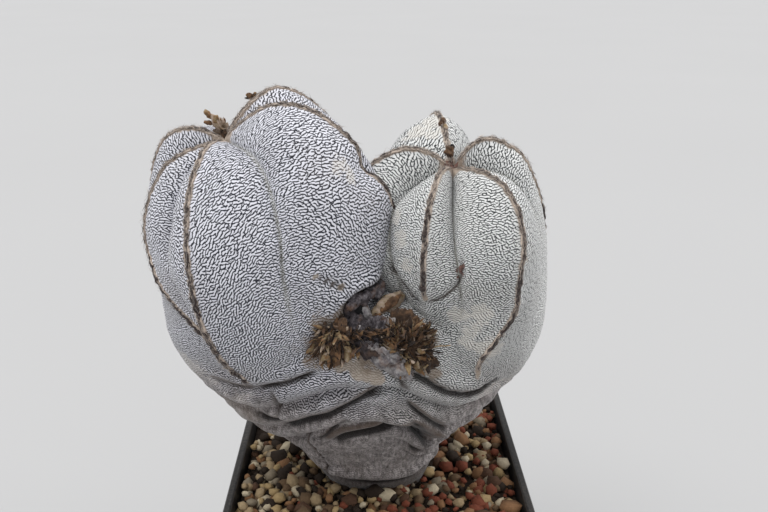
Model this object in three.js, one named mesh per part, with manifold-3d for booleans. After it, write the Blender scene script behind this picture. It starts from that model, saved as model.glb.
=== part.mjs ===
// A two-headed bishop's cap cactus of the onzuka form in a square plastic pot.
// Millimetres, +Z up, the pot stands on z = 0 with its base centred on the origin.
// The viewer of the plant stands on the -Y side.
import * as THREE from 'three';
import { mergeVertices } from 'three/addons/utils/BufferGeometryUtils.js';
import Module from 'manifold-3d';

const DEG = Math.PI / 180;

// Pot
const POT_TOP_HALF = 50;
const POT_BASE_HALF = 37;
const POT_HEIGHT = 90;
const POT_TOP_CORNER = 7;
const POT_BASE_CORNER = 6;
const POT_WALL = 1.6;
const POT_FLOOR = 2;
const RIM_DEPTH = 7;
const RIM_STEP = 0.9;
const RIM_WIDTH = 2.5;
const RIM_ROUND = 0.5;
const CORNER_POINTS = 6;
const DRAIN_RADIUS = 4;
const DRAIN_OFFSET = 22;
const DRAIN_SIDES = 14;

// Grit
const GRIT_LEVEL = 86;
const GRIT_PLUG_TOP = 98;
const GRIT_FIELD_HALF = 54;
const GRIT_FIELD_FOOT = -10;
const SEAT_GAP = 0.3;
const GRIT_CELLS = 24;
const GRIT_ROUGHNESS = 1.7;
const GRIT_SHIFT = 0.32;
const STONE_COUNT = 58;
const STONE_MIN = 1.7;
const STONE_MAX = 3.1;
const STONE_FLATNESS = 0.7;
const STONE_NARROWEST = 0.75;
const STONE_WIDTH_RANGE = 0.35;
const STONE_TILT = 30;
const STONE_RISE = 0.35;
const STONE_SPACING = 1.05;
const STONE_KEEP_OUT = 3.5;
const STEM_MIDDLE_Y = 3;

// Heads: every head is a closed skin drawn round its own axis. Ridges and grooves run from the
// crown to the foot; each has its azimuth at the crown, at the waist and at the foot (degrees
// from the viewer's side, growing to +X) and its distance from the head's middle at STATIONS,
// which are angles from the crown.
const STATIONS = [0, 12, 28, 55, 90, 120, 150, 180];
const FLANK_STEPS = [0, 0.1, 0.32, 0.6, 0.85];
const HEAD_ROWS = 31;
const RIB_STRAIGHTNESS = 0.25;
const CROWN_TURN_FROM = 20;
const CROWN_TURN_TO = 90;
const AREOLE_HEIGHT = 0.9;
const AREOLE_FIRST_ROW = 2;
const AREOLE_LAST_ROW = 24;

const LEFT_HEAD = {
  middle: [-33, -3, 175.5],
  leanRight: -18,
  leanFront: 6,
  crown: 32.5,
  foot: 46,
  turn: [84, 118],
  lines: [
    { ridge: true, azimuth: [-80, -76, -40], reach: [33.8, 36, 35.5, 34, 40, 46] },
    { ridge: false, azimuth: [-52, -50, -33], reach: [31, 31, 30, 31, 39, 45] },
    { ridge: true, azimuth: [-25, -24, -26], reach: [34.5, 34.8, 35.5, 38.5, 42, 45] },
    { ridge: false, azimuth: [34, 17, 10], reach: [32, 33.5, 33, 34.5, 41, 46] },
    { ridge: true, azimuth: [82, 80, 75], reach: [37, 42.5, 42.3, 38.5, 40, 44] },
    { ridge: false, azimuth: [112, 112, 112], reach: [32, 34, 34, 32, 34, 40] },
    { ridge: true, azimuth: [133, 138, 140], reach: [39, 44.5, 44.5, 42, 38, 42] },
    { ridge: false, azimuth: [185, 185, 185], reach: [31, 32, 33, 33, 36, 44] },
    { ridge: true, azimuth: [240, 240, 245], reach: [37.5, 41.5, 42, 40, 43, 54] },
    { ridge: false, azimuth: [262, 266, 285], reach: [31, 32, 32, 32.5, 43, 54] },
  ],
};

const RIGHT_HEAD = {
  middle: [25.3, -2.6, 169],
  leanRight: -7.5,
  leanFront: 13,
  crown: 30.5,
  foot: 46,
  turn: [90, 130],
  lines: [
    { ridge: true, azimuth: [-28, -28, -28], reach: [34.5, 34.5, 30, 27.5, 31, 40] },
    { ridge: false, azimuth: [-10, -6, -12], reach: [27, 25.5, 25, 26, 34, 44] },
    { ridge: true, azimuth: [45, 23, 3], reach: [32.5, 34, 32, 30.5, 36, 44] },
    { ridge: false, azimuth: [72, 58, 40], reach: [30, 31, 28, 26, 32, 42] },
    { ridge: true, azimuth: [97, 97, 97], reach: [38, 37.5, 30.5, 27.5, 29, 40] },
    { ridge: false, azimuth: [150, 160, 160], reach: [28, 27, 25, 26, 30, 42] },
    { ridge: true, azimuth: [182, 202, 202], reach: [35, 43, 40, 34, 34, 44] },
    { ridge: false, azimuth: [232, 232, 232], reach: [31, 35, 33, 28, 28, 36] },
    { ridge: true, azimuth: [258, 258, 258], reach: [37, 39.7, 37, 32, 30, 34] },
    { ridge: false, azimuth: [285, 312, 325], reach: [28, 28.5, 28, 25, 27, 36] },
  ],
};

// Neck: an upright stack of ovals from below the grit to the fork of the heads. The outline is
// given by the reach to the left, right, front and back at the heights NECK_LEVELS.
const NECK_LEVELS = [62, 78, 84, 90, 96, 102, 108, 115, 123, 132, 142, 152];
const NECK_LEFT = [-13, -17, -19, -22, -25, -28.5, -35, -45.5, -55, -60.5, -60, -54];
const NECK_RIGHT = [12, 16, 17.5, 19.5, 21, 23.5, 28, 35, 41.5, 45.5, 45, 40];
const NECK_FRONT = [-8, -9.5, -10.5, -13, -16, -18.5, -21, -24, -28, -32, -35, -36];
const NECK_BACK = [14, 17, 18, 19.5, 21, 23, 26, 29, 31.5, 33, 33, 31];
const NECK_DOME = 14;
const FORK_POINT = [-7, -2];
const NECK_OVALNESS = 0.94;
const NECK_COLUMNS = 46;
const NECK_ROW_LEVELS = [
  62, 76, 82, 87, 90.5, 92.5, 94, 95.5, 97.5, 101, 106, 111, 115, 117.5, 119.5, 122,
  124, 126, 127.5, 130, 132, 133.5, 135, 137.5, 140, 142, 143.5, 146, 149, 152, 157, 162,
];
// The folds rise together to the front right, as cloth does when it is lifted at one point.
const FOLD_LIFT = 14;
const FOLD_RISE_FROM = 94;
const FOLD_RISE_TO = 128;
const FOLD_SETTLE_FROM = 146;
const FOLD_SETTLE_TO = 164;
const FOLD_PEAK = 6;
const FOLD_FALL_LEFT = 48;
const FOLD_FALL_RIGHT = 30;
const FOLDS = [
  { level: 94, depth: 2.6, width: 1.5, at: 5, span: 85, tilt: 0 },
  { level: 126, depth: 4, width: 1.9, at: 0, span: 75, tilt: 0 },
  { level: 142, depth: 2.8, width: 1.6, at: 0, span: 85, tilt: 0 },
  { level: 134, depth: 1.8, width: 1.4, at: 45, span: 32, tilt: 0 },
  { level: 118, depth: 1.8, width: 1.3, at: 42, span: 30, tilt: 0 },
  { level: 133, depth: 1.8, width: 1.3, at: -38, span: 24, tilt: 3 },
];
const CREASE_SHARPNESS = 1.3;
const LIP_SHARE = 0.5;
const LIP_RISE = 2.3;
const LIP_WIDTH = 1.6;

// Dried flower remains: bunches of papery blades round a small core.
const BLADE_ROOT = 0.35;
const BLADE_FLATNESS = 0.45;
const BLADE_SPLAY = 1.1;
const BLADE_FOOT = 0.6;
const CORE_SHARE = 0.85;
const BUNCHES = [
  {
    name: 'flower_remains_centre_left',
    seed: 11, blades: 26, coreDetail: 1, spread: [5.6, 2.4, 4.4], length: [6, 10], width: 1.7,
    middle: [-12.5, -34.5, 157.8], towards: [-0.15, -0.9, 0.15],
  },
  {
    name: 'flower_remains_centre_right',
    seed: 12, blades: 30, coreDetail: 1, spread: [4.8, 2.8, 6.6], length: [6, 11], width: 1.8,
    middle: [8.2, -29.8, 157.6], towards: [0.15, -0.9, 0.15],
  },
  {
    name: 'flower_remains_left_crown',
    seed: 13, blades: 9, coreDetail: 0, spread: [2.7, 2, 1.3], length: [4.5, 8], width: 1.4,
    middle: [-46.2, -3.2, 209], towards: [-0.3, -0.1, 0.95],
  },
  {
    name: 'flower_remains_back_rib',
    seed: 14, blades: 5, coreDetail: 0, spread: [1.4, 1.1, 0.9], length: [2.4, 4], width: 1,
    middle: [-36, 8.5, 218.6], towards: [-0.35, -0.2, 0.9],
  },
];

const COLOURS = {
  skin: { color: 0xb9bdb8, roughness: 0.85 },
  remains: { color: 0x7a5233, roughness: 0.95 },
  grit: { color: 0x7d6552, roughness: 0.95 },
  pot: { color: 0x17171a, roughness: 0.45 },
};

const wasm = await Module();
wasm.setup();

// A seeded draw between 0 and 1.
function drawFrom(seed) {
  let state = seed >>> 0;
  return () => {
    state = (state + 0x6d2b79f5) >>> 0;
    let mixed = Math.imul(state ^ (state >>> 15), 1 | state);
    mixed = (mixed + Math.imul(mixed ^ (mixed >>> 7), 61 | mixed)) ^ mixed;
    return ((mixed ^ (mixed >>> 14)) >>> 0) / 4294967296;
  };
}

function smooth(from, to, x) {
  const t = Math.min(1, Math.max(0, (x - from) / (to - from)));
  return t * t * (3 - 2 * t);
}

// A smooth curve through the heights ys at the places xs. The slope at each place is the
// weighted mean of the slopes beside it, and level at the last place.
function through(xs, ys, x) {
  const last = xs.length - 1;
  let i = 0;
  while (i < last - 1 && x > xs[i + 1]) {
    i += 1;
  }
  const slope = (k) => (ys[k + 1] - ys[k]) / (xs[k + 1] - xs[k]);
  const tangent = (k) => {
    if (k === 0) {
      return slope(0);
    }
    if (k === last) {
      return 0;
    }
    const before = xs[k] - xs[k - 1];
    const after = xs[k + 1] - xs[k];
    return (slope(k - 1) * after + slope(k) * before) / (before + after);
  };
  const step = xs[i + 1] - xs[i];
  const t = Math.max(0, (x - xs[i]) / step);
  return (2 * t ** 3 - 3 * t ** 2 + 1) * ys[i]
    + (t ** 3 - 2 * t ** 2 + t) * step * tangent(i)
    + (-2 * t ** 3 + 3 * t ** 2) * ys[i + 1]
    + (t ** 3 - t ** 2) * step * tangent(i + 1);
}

// Stitches closed rings of points into one closed body, with a single point at each end.
function skinOfRings(rings, lowPoint, highPoint) {
  const count = rings[0].length;
  const positions = [...lowPoint];
  rings.forEach((ring) => ring.forEach((p) => positions.push(...p)));
  positions.push(...highPoint);
  const at = (row, column) => 1 + row * count + (column % count);
  const top = 1 + rings.length * count;
  const index = [];
  for (let c = 0; c < count; c += 1) {
    index.push(0, at(0, c + 1), at(0, c));
    index.push(top, at(rings.length - 1, c), at(rings.length - 1, c + 1));
    for (let r = 0; r < rings.length - 1; r += 1) {
      index.push(at(r, c), at(r, c + 1), at(r + 1, c + 1));
      index.push(at(r, c), at(r + 1, c + 1), at(r + 1, c));
    }
  }
  const geometry = new THREE.BufferGeometry();
  geometry.setAttribute('position', new THREE.Float32BufferAttribute(positions, 3));
  geometry.setIndex(index);
  return geometry;
}

function solidOf(geometry) {
  const bare = geometry.index ? geometry.clone() : geometry;
  bare.deleteAttribute('normal');
  bare.deleteAttribute('uv');
  const merged = mergeVertices(bare, 1e-4);
  return new wasm.Manifold(new wasm.Mesh({
    numProp: 3,
    vertProperties: new Float32Array(merged.attributes.position.array),
    triVerts: new Uint32Array(merged.index.array),
  }));
}

function geometryOf(solid) {
  const mesh = solid.getMesh();
  const geometry = new THREE.BufferGeometry();
  geometry.setAttribute('position', new THREE.BufferAttribute(mesh.vertProperties, 3));
  geometry.setIndex(new THREE.BufferAttribute(mesh.triVerts, 1));
  geometry.computeVertexNormals();
  return geometry;
}

// The head's own axes: up through the crown, to the viewer, and to the viewer's right.
function headAxes(head) {
  const up = new THREE.Vector3(Math.tan(head.leanRight * DEG), -Math.tan(head.leanFront * DEG), 1);
  up.normalize();
  const front = new THREE.Vector3(0, -1, 0);
  front.addScaledVector(up, -front.dot(up)).normalize();
  const right = new THREE.Vector3().crossVectors(up, front);
  return { up, front, right };
}

function lineReach(head, line, angle) {
  return through(STATIONS, [head.crown, ...line.reach, head.foot], angle);
}

function lineAzimuth(head, line, angle) {
  const [crown, waist, foot] = line.azimuth;
  const upper = (waist - crown) * smooth(CROWN_TURN_FROM, CROWN_TURN_TO, angle);
  const lower = (foot - waist) * smooth(head.turn[0], head.turn[1], angle);
  return crown + upper + lower;
}

// One point of the skin. The flank between a ridge and a groove is a quarter round mixed with
// a straight slope, so ribs are full and grooves narrow.
function headPoint(head, axes, lineIndex, step, row, clear) {
  const { lines } = head;
  const here = lines[lineIndex];
  const next = lines[(lineIndex + 1) % lines.length];
  const angle = (180 * row) / HEAD_ROWS;
  const share = here.ridge ? step : 1 - step;
  const round = Math.sqrt(Math.max(0, 1 - share * share));
  const fullness = round * (1 - RIB_STRAIGHTNESS) + (1 - share) * RIB_STRAIGHTNESS;
  const reachHere = lineReach(head, here, angle);
  const reachNext = lineReach(head, next, angle);
  const ridge = here.ridge ? reachHere : reachNext;
  const groove = here.ridge ? reachNext : reachHere;
  let reach = groove + (ridge - groove) * fullness + clear;
  const onAreole = here.ridge && step === 0 && row % 2 === 0;
  if (onAreole && row >= AREOLE_FIRST_ROW && row <= AREOLE_LAST_ROW) {
    reach += AREOLE_HEIGHT;
  }
  const wrap = lineIndex === lines.length - 1 ? 360 : 0;
  const azimuthHere = lineAzimuth(head, here, angle);
  const azimuthNext = lineAzimuth(head, next, angle) + wrap;
  const azimuth = (azimuthHere + (azimuthNext - azimuthHere) * step) * DEG;
  const out = Math.sin(angle * DEG);
  const point = new THREE.Vector3(...head.middle);
  point.addScaledVector(axes.up, reach * Math.cos(angle * DEG));
  point.addScaledVector(axes.front, reach * out * Math.cos(azimuth));
  point.addScaledVector(axes.right, reach * out * Math.sin(azimuth));
  return point.toArray();
}

function headSkin(head, clear) {
  const axes = headAxes(head);
  const columns = [];
  head.lines.forEach((line, index) => {
    FLANK_STEPS.forEach((step, i) => {
      const fromRidge = i === 0 ? 0 : step;
      const fromGroove = i === 0 ? 0 : 1 - FLANK_STEPS[FLANK_STEPS.length - i];
      columns.push([index, line.ridge ? fromRidge : fromGroove]);
    });
  });
  const rings = [];
  for (let row = HEAD_ROWS - 1; row >= 1; row -= 1) {
    rings.push(columns.map(([index, step]) => headPoint(head, axes, index, step, row, clear)));
  }
  const middle = new THREE.Vector3(...head.middle);
  const footPoint = middle.clone().addScaledVector(axes.up, -(head.foot + clear)).toArray();
  const crownPoint = middle.clone().addScaledVector(axes.up, head.crown + clear).toArray();
  return skinOfRings(rings, footPoint, crownPoint);
}

// How far the folds push the neck's skin out (or in) at a height and azimuth.
function foldRelief(level, azimuth) {
  let relief = 0;
  FOLDS.forEach((fold) => {
    const away = ((azimuth - fold.at + 540) % 360) - 180;
    const above = level - fold.level - (fold.tilt * away) / fold.span;
    const nearby = Math.exp(-((away / fold.span) ** 4));
    const crease = Math.exp(-(Math.abs(above / fold.width) ** CREASE_SHARPNESS));
    const fromLip = (above / fold.width - LIP_RISE) / LIP_WIDTH;
    const lip = Math.exp(-(fromLip ** 2));
    relief += fold.depth * nearby * (LIP_SHARE * lip - crease);
  });
  return relief;
}

function neckPoint(level, azimuth, clear) {
  const top = NECK_LEVELS[NECK_LEVELS.length - 1];
  const lift = Math.min(1, Math.max(0, (level - top) / NECK_DOME));
  const shrink = Math.sqrt(1 - lift * lift);
  const rising = smooth(FOLD_RISE_FROM, FOLD_RISE_TO, level);
  const lifted = rising * (1 - smooth(FOLD_SETTLE_FROM, FOLD_SETTLE_TO, level));
  const aside = azimuth < FOLD_PEAK
    ? smooth(0, FOLD_FALL_LEFT, FOLD_PEAK - azimuth)
    : smooth(0, FOLD_FALL_RIGHT, azimuth - FOLD_PEAK);
  const height = level - FOLD_LIFT * lifted * aside;
  const capped = Math.min(height, top);
  const left = through(NECK_LEVELS, NECK_LEFT, capped);
  const right = through(NECK_LEVELS, NECK_RIGHT, capped);
  const front = through(NECK_LEVELS, NECK_FRONT, capped);
  const back = through(NECK_LEVELS, NECK_BACK, capped);
  const out = foldRelief(level, azimuth) + clear;
  const across = Math.sin(azimuth * DEG);
  const along = -Math.cos(azimuth * DEG);
  const x = Math.sign(across) * Math.abs(across) ** NECK_OVALNESS;
  const y = Math.sign(along) * Math.abs(along) ** NECK_OVALNESS;
  return [
    (left + right) / 2 + ((right - left) / 2 + out) * x * shrink,
    (front + back) / 2 + ((back - front) / 2 + out) * y * shrink,
    height,
  ];
}

function neckSkin(clear) {
  const rings = NECK_ROW_LEVELS.map((level, row) => {
    const ring = [];
    for (let c = 0; c < NECK_COLUMNS; c += 1) {
      const azimuth = ((360 * c) / NECK_COLUMNS + 180) % 360 - 180;
      const point = neckPoint(level, azimuth, clear);
      if (row === 0) {
        point[2] -= clear;
      }
      ring.push(point);
    }
    return ring;
  });
  const foot = [(NECK_LEFT[0] + NECK_RIGHT[0]) / 2, (NECK_FRONT[0] + NECK_BACK[0]) / 2];
  const fork = NECK_LEVELS[NECK_LEVELS.length - 1] + NECK_DOME;
  return skinOfRings(rings, [...foot, NECK_LEVELS[0] - clear], [...FORK_POINT, fork + clear]);
}

// The plant grown outwards by `clear`, for itself (0) and for the hollows that it leaves in others.
function plantSolid(clear) {
  return solidOf(neckSkin(clear))
    .add(solidOf(headSkin(LEFT_HEAD, clear)))
    .add(solidOf(headSkin(RIGHT_HEAD, clear)));
}

// A square with round corners, as a ring of points that runs anticlockwise seen from above.
function squareRing(half, corner, z) {
  const ring = [];
  for (let quarter = 0; quarter < 4; quarter += 1) {
    const turn = quarter * 90;
    for (let i = 0; i < CORNER_POINTS; i += 1) {
      const angle = (turn + (90 * i) / (CORNER_POINTS - 1)) * DEG;
      const middle = new THREE.Vector2(half - corner, half - corner);
      middle.rotateAround(new THREE.Vector2(0, 0), turn * DEG);
      ring.push([middle.x + corner * Math.cos(angle), middle.y + corner * Math.sin(angle), z]);
    }
  }
  return ring;
}

function potHalfAt(z) {
  const wallTop = POT_TOP_HALF - RIM_STEP;
  return POT_BASE_HALF + ((wallTop - POT_BASE_HALF) * z) / POT_HEIGHT;
}

function potCornerAt(z) {
  return POT_BASE_CORNER + ((POT_TOP_CORNER - POT_BASE_CORNER) * z) / POT_HEIGHT;
}

// The pot from the middle of its floor outside, up the wall, over the rim and down inside.
function potSolid() {
  const rimFoot = POT_HEIGHT - RIM_DEPTH;
  const outer = (z, extra) => squareRing(potHalfAt(z) + extra, potCornerAt(z), z);
  const inner = (z, extra) => squareRing(potHalfAt(z) - extra, potCornerAt(z) - POT_WALL, z);
  const rings = [
    squareRing(POT_BASE_HALF - 1, POT_BASE_CORNER - 1, 0),
    outer(1, 0),
    outer(rimFoot, 0),
    outer(rimFoot + RIM_STEP, RIM_STEP),
    outer(POT_HEIGHT - RIM_ROUND, RIM_STEP),
    squareRing(POT_TOP_HALF - RIM_ROUND, POT_TOP_CORNER - RIM_ROUND, POT_HEIGHT),
    squareRing(POT_TOP_HALF - RIM_WIDTH + RIM_ROUND, POT_TOP_CORNER - RIM_WIDTH + RIM_ROUND, POT_HEIGHT),
    squareRing(POT_TOP_HALF - RIM_WIDTH, POT_TOP_CORNER - RIM_WIDTH, POT_HEIGHT - RIM_ROUND),
    inner(rimFoot, POT_WALL),
    inner(POT_FLOOR, POT_WALL),
  ];
  let pot = solidOf(skinOfRings(rings, [0, 0, 0], [0, 0, POT_FLOOR]));
  [[1, 1], [-1, 1], [-1, -1], [1, -1]].forEach(([x, y]) => {
    const drain = new THREE.CylinderGeometry(DRAIN_RADIUS, DRAIN_RADIUS, 3 * POT_FLOOR, DRAIN_SIDES);
    drain.rotateX(90 * DEG);
    drain.translate(x * DRAIN_OFFSET, y * DRAIN_OFFSET, POT_FLOOR / 2);
    pot = pot.subtract(solidOf(drain));
  });
  return pot;
}

// The grit fills the pot. Its top is a rough field of lumps with larger stones set in it.
function gritSolid() {
  const draw = drawFrom(7);
  const lowest = POT_FLOOR + SEAT_GAP;
  const halfAt = (z) => potHalfAt(z) - POT_WALL - SEAT_GAP;
  const cornerAt = (z) => potCornerAt(z) - POT_WALL - SEAT_GAP;
  const body = (z) => squareRing(halfAt(z), cornerAt(z), z);
  const plug = solidOf(skinOfRings(
    [body(lowest), body(POT_HEIGHT - RIM_DEPTH - 1), body(GRIT_PLUG_TOP)],
    [0, 0, lowest],
    [0, 0, GRIT_PLUG_TOP],
  ));

  const reach = GRIT_FIELD_HALF;
  const pitch = (2 * reach) / GRIT_CELLS;
  const positions = [];
  for (let j = 0; j <= GRIT_CELLS; j += 1) {
    for (let i = 0; i <= GRIT_CELLS; i += 1) {
      const edge = i === 0 || j === 0 || i === GRIT_CELLS || j === GRIT_CELLS;
      const loose = edge ? 0 : pitch * GRIT_SHIFT;
      positions.push(
        -reach + i * pitch + loose * (2 * draw() - 1),
        -reach + j * pitch + loose * (2 * draw() - 1),
        GRIT_LEVEL + GRIT_ROUGHNESS * (2 * draw() - 1),
      );
    }
  }
  const across = GRIT_CELLS + 1;
  const base = positions.length / 3;
  for (let j = 0; j <= GRIT_CELLS; j += 1) {
    for (let i = 0; i <= GRIT_CELLS; i += 1) {
      positions.push(-reach + i * pitch, -reach + j * pitch, GRIT_FIELD_FOOT);
    }
  }
  const index = [];
  const quad = (a, b, c, d) => index.push(a, b, c, a, c, d);
  for (let j = 0; j < GRIT_CELLS; j += 1) {
    for (let i = 0; i < GRIT_CELLS; i += 1) {
      const a = j * across + i;
      quad(a, a + 1, a + across + 1, a + across);
      quad(base + a + across, base + a + across + 1, base + a + 1, base + a);
    }
  }
  for (let k = 0; k < GRIT_CELLS; k += 1) {
    const far = GRIT_CELLS * across;
    quad(base + k, base + k + 1, k + 1, k);
    quad(far + k, far + k + 1, base + far + k + 1, base + far + k);
    const west = k * across;
    const east = k * across + GRIT_CELLS;
    quad(west, west + across, base + west + across, base + west);
    quad(base + east, base + east + across, east + across, east);
  }
  const field = new THREE.BufferGeometry();
  field.setAttribute('position', new THREE.Float32BufferAttribute(positions, 3));
  field.setIndex(index);
  let heap = solidOf(field);

  const placed = [];
  const stemRadius = (NECK_RIGHT[2] - NECK_LEFT[2]) / 2;
  const room = halfAt(GRIT_LEVEL) - STONE_MAX;
  while (placed.length < STONE_COUNT) {
    const x = room * (2 * draw() - 1);
    const y = room * (2 * draw() - 1);
    const radius = STONE_MIN + (STONE_MAX - STONE_MIN) * draw();
    const nearStem = Math.hypot(x, y - STEM_MIDDLE_Y) < stemRadius + STONE_KEEP_OUT;
    const crowded = placed.some((other) => {
      const apart = Math.hypot(other.x - x, other.y - y);
      return apart < (other.radius + radius) * STONE_SPACING;
    });
    if (!nearStem && !crowded) {
      placed.push({ x, y, radius });
      const stone = new THREE.IcosahedronGeometry(radius, 0);
      stone.scale(1, STONE_NARROWEST + STONE_WIDTH_RANGE * draw(), STONE_FLATNESS);
      stone.rotateZ(360 * DEG * draw());
      stone.rotateX(STONE_TILT * DEG * (draw() - 0.5));
      stone.translate(x, y, GRIT_LEVEL + STONE_RISE * radius);
      heap = heap.add(solidOf(stone));
    }
  }
  return plug.intersect(heap).subtract(solidOf(neckSkin(SEAT_GAP)));
}

// A bunch of dried petals: four-sided blades that splay from a shared core.
function bunchSolid(bunch) {
  const draw = drawFrom(bunch.seed);
  const heading = new THREE.Vector3(...bunch.towards).normalize();
  const middle = new THREE.Vector3(...bunch.middle);
  const spread = new THREE.Vector3(...bunch.spread);
  const core = new THREE.IcosahedronGeometry(CORE_SHARE, bunch.coreDetail);
  core.scale(...bunch.spread);
  core.translate(...bunch.middle);
  let solid = solidOf(core);
  for (let i = 0; i < bunch.blades; i += 1) {
    const length = bunch.length[0] + (bunch.length[1] - bunch.length[0]) * draw();
    const blade = new THREE.ConeGeometry(bunch.width, length, 4);
    blade.translate(0, length * (0.5 - BLADE_ROOT), 0);
    blade.scale(1, 1, BLADE_FLATNESS);
    blade.rotateY(360 * DEG * draw());
    const place = new THREE.Vector3(2 * draw() - 1, 2 * draw() - 1, 2 * draw() - 1);
    const stray = new THREE.Vector3(draw() - 0.5, draw() - 0.5, draw() - 0.5);
    const direction = heading.clone().addScaledVector(place, BLADE_SPLAY).add(stray).normalize();
    const turn = new THREE.Quaternion().setFromUnitVectors(new THREE.Vector3(0, 1, 0), direction);
    blade.applyQuaternion(turn);
    const foot = place.multiply(spread).multiplyScalar(BLADE_FOOT).add(middle);
    blade.translate(foot.x, foot.y, foot.z);
    solid = solid.add(solidOf(blade));
  }
  return solid;
}

// Loose scraps that a cut leaves behind are dropped.
function largestOf(solid) {
  const pieces = solid.decompose();
  return pieces.reduce((best, piece) => (piece.volume() > best.volume() ? piece : best));
}

const assembly = new THREE.Group();

function addPart(name, solid, look) {
  const material = new THREE.MeshStandardMaterial({ ...look, metalness: 0, flatShading: true });
  const mesh = new THREE.Mesh(geometryOf(solid), material);
  mesh.name = name;
  assembly.add(mesh);
}

addPart('plastic_pot', potSolid(), COLOURS.pot);
addPart('grit', largestOf(gritSolid()), COLOURS.grit);
addPart('cactus', plantSolid(0), COLOURS.skin);
const plantHollow = plantSolid(SEAT_GAP);
BUNCHES.forEach((bunch) => {
  addPart(bunch.name, largestOf(bunchSolid(bunch).subtract(plantHollow)), COLOURS.remains);
});

export default assembly;
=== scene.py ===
# %% [markdown]
# # A two-headed bishop's cap cactus of the onzuka form, in a square pot
# The plant has two five-ribbed heads grown together on one short, corky, wrinkled neck. Its skin
# is covered with white felt that thin dark lines split into a maze. Woolly brown seams run down
# the ribs, and dried flowers hang in the fork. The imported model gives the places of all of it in
# metres: the pot stands on z = 0 and the viewer stands on the -Y side.
# Each step below says what the real thing is, how it could be made and why this way was chosen.

from types import SimpleNamespace

import bmesh
import bpy
import numpy as np
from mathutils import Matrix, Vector


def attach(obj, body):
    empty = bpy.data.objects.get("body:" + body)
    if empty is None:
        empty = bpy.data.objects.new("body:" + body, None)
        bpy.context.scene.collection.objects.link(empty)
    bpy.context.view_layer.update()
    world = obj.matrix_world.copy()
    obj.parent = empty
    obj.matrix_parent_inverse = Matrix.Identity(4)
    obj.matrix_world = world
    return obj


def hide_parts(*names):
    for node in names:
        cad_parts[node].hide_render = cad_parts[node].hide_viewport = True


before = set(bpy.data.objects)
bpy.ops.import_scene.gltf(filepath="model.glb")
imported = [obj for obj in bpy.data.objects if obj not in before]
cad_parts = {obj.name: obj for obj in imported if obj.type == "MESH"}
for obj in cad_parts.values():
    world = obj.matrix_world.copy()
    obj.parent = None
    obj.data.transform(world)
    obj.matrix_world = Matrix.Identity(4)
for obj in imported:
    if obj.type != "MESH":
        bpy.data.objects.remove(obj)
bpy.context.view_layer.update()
MM = 0.001
print("carried nodes:", sorted(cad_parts))

# %% [markdown]
# ## Camera, floor and light
# The picture was taken from a little above, looking down at 22 degrees. The camera's place was
# found from the pot's edges and the outline of the heads. The light is a wide soft one from above
# and a weaker one from the right in a pale room, so the crowns are bright, the undersides are dim
# and the furrows go grey and not black.

# %% Camera
CAMERA_PLACE = (-0.0026, -0.206, 0.251)
CAMERA_TURN = (68.0, 0.0, -1.34)
LENS = 33.5


def add_object(name, data):
    """links a new object to the scene and returns it"""
    made = bpy.data.objects.new(name, data)
    bpy.context.scene.collection.objects.link(made)
    return made


camera_data = bpy.data.cameras.new("studio_camera")
camera_data.lens = LENS
camera_data.sensor_width = 36.0
camera_data.clip_start = 0.005
camera_data.clip_end = 60.0
camera = add_object("studio_camera", camera_data)
camera.location = CAMERA_PLACE
camera.rotation_euler = np.radians(CAMERA_TURN)
bpy.context.scene.camera = camera
print("camera at", CAMERA_PLACE)

# %% Lights
bpy.context.scene.view_settings.view_transform = "Standard"


def soft_light(name, place, watts, spread, colour):
    """a far, wide light that shines from `place` towards the middle, `spread` degrees wide"""
    lamp = bpy.data.lights.new(name, "SUN")
    lamp.energy = watts
    lamp.angle = np.radians(spread)
    lamp.color = colour
    made = add_object(name, lamp)
    made.location = place
    made.rotation_euler = (-Vector(place)).to_track_quat("-Z", "Y").to_euler()
    return made


soft_light("window_light", (-1.3, -0.3, 3.3), 2.1, 50.0, (1.0, 0.995, 0.985))
soft_light("side_light", (2.6, 0.3, 1.5), 1.2, 50.0, (1.0, 0.99, 0.98))
room = bpy.data.worlds.new("pale_room")
room.use_nodes = True
room.node_tree.nodes["Background"].inputs["Color"].default_value = (0.96, 0.97, 1.0, 1.0)
room.node_tree.nodes["Background"].inputs["Strength"].default_value = 0.55
bpy.context.scene.world = room
print("two soft lights and a pale room")

# %% [markdown]
# ## A small language for materials
# Blender's shader maths is a net of Math nodes. A small class wraps one socket and overloads the
# plus, minus, times and divide signs, so that a material below reads like arithmetic. Colours are
# mixed with Mix nodes, because a Math node would turn them grey.

# %% Shader maths


class Wire:
    """one output socket inside a material; signs between wires and numbers add Math nodes"""

    def __init__(self, bench, socket):
        self.bench = bench
        self.socket = socket

    def _math(self, operation, *values):
        return self.bench.node("ShaderNodeMath", {"operation": operation}, dict(enumerate(values)))

    def __add__(self, other):
        return self._math("ADD", self, other)

    def __radd__(self, other):
        return self._math("ADD", other, self)

    def __sub__(self, other):
        return self._math("SUBTRACT", self, other)

    def __rsub__(self, other):
        return self._math("SUBTRACT", other, self)

    def __mul__(self, other):
        return self._math("MULTIPLY", self, other)

    def __rmul__(self, other):
        return self._math("MULTIPLY", other, self)

    def __truediv__(self, other):
        return self._math("DIVIDE", self, other)

    def __rtruediv__(self, other):
        return self._math("DIVIDE", other, self)

    def size(self):
        """the distance from nought"""
        return self._math("ABSOLUTE", self)

    def sign(self):
        """-1 below nought and 1 above it"""
        return self._math("SIGN", self)

    def fold(self, half):
        """runs up to `half` and back again"""
        return self._math("PINGPONG", self, half)

    def least(self, other):
        """the smaller of the two"""
        return self._math("MINIMUM", self, other)

    def most(self, other):
        """the larger of the two"""
        return self._math("MAXIMUM", self, other)

    def rise(self, low, high):
        """0 below low, 1 above high, and an S-shaped rise between"""
        ramp = {"interpolation_type": "SMOOTHSTEP"}
        return self.bench.node("ShaderNodeMapRange", ramp, {"Value": self, 1: low, 2: high})


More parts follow.
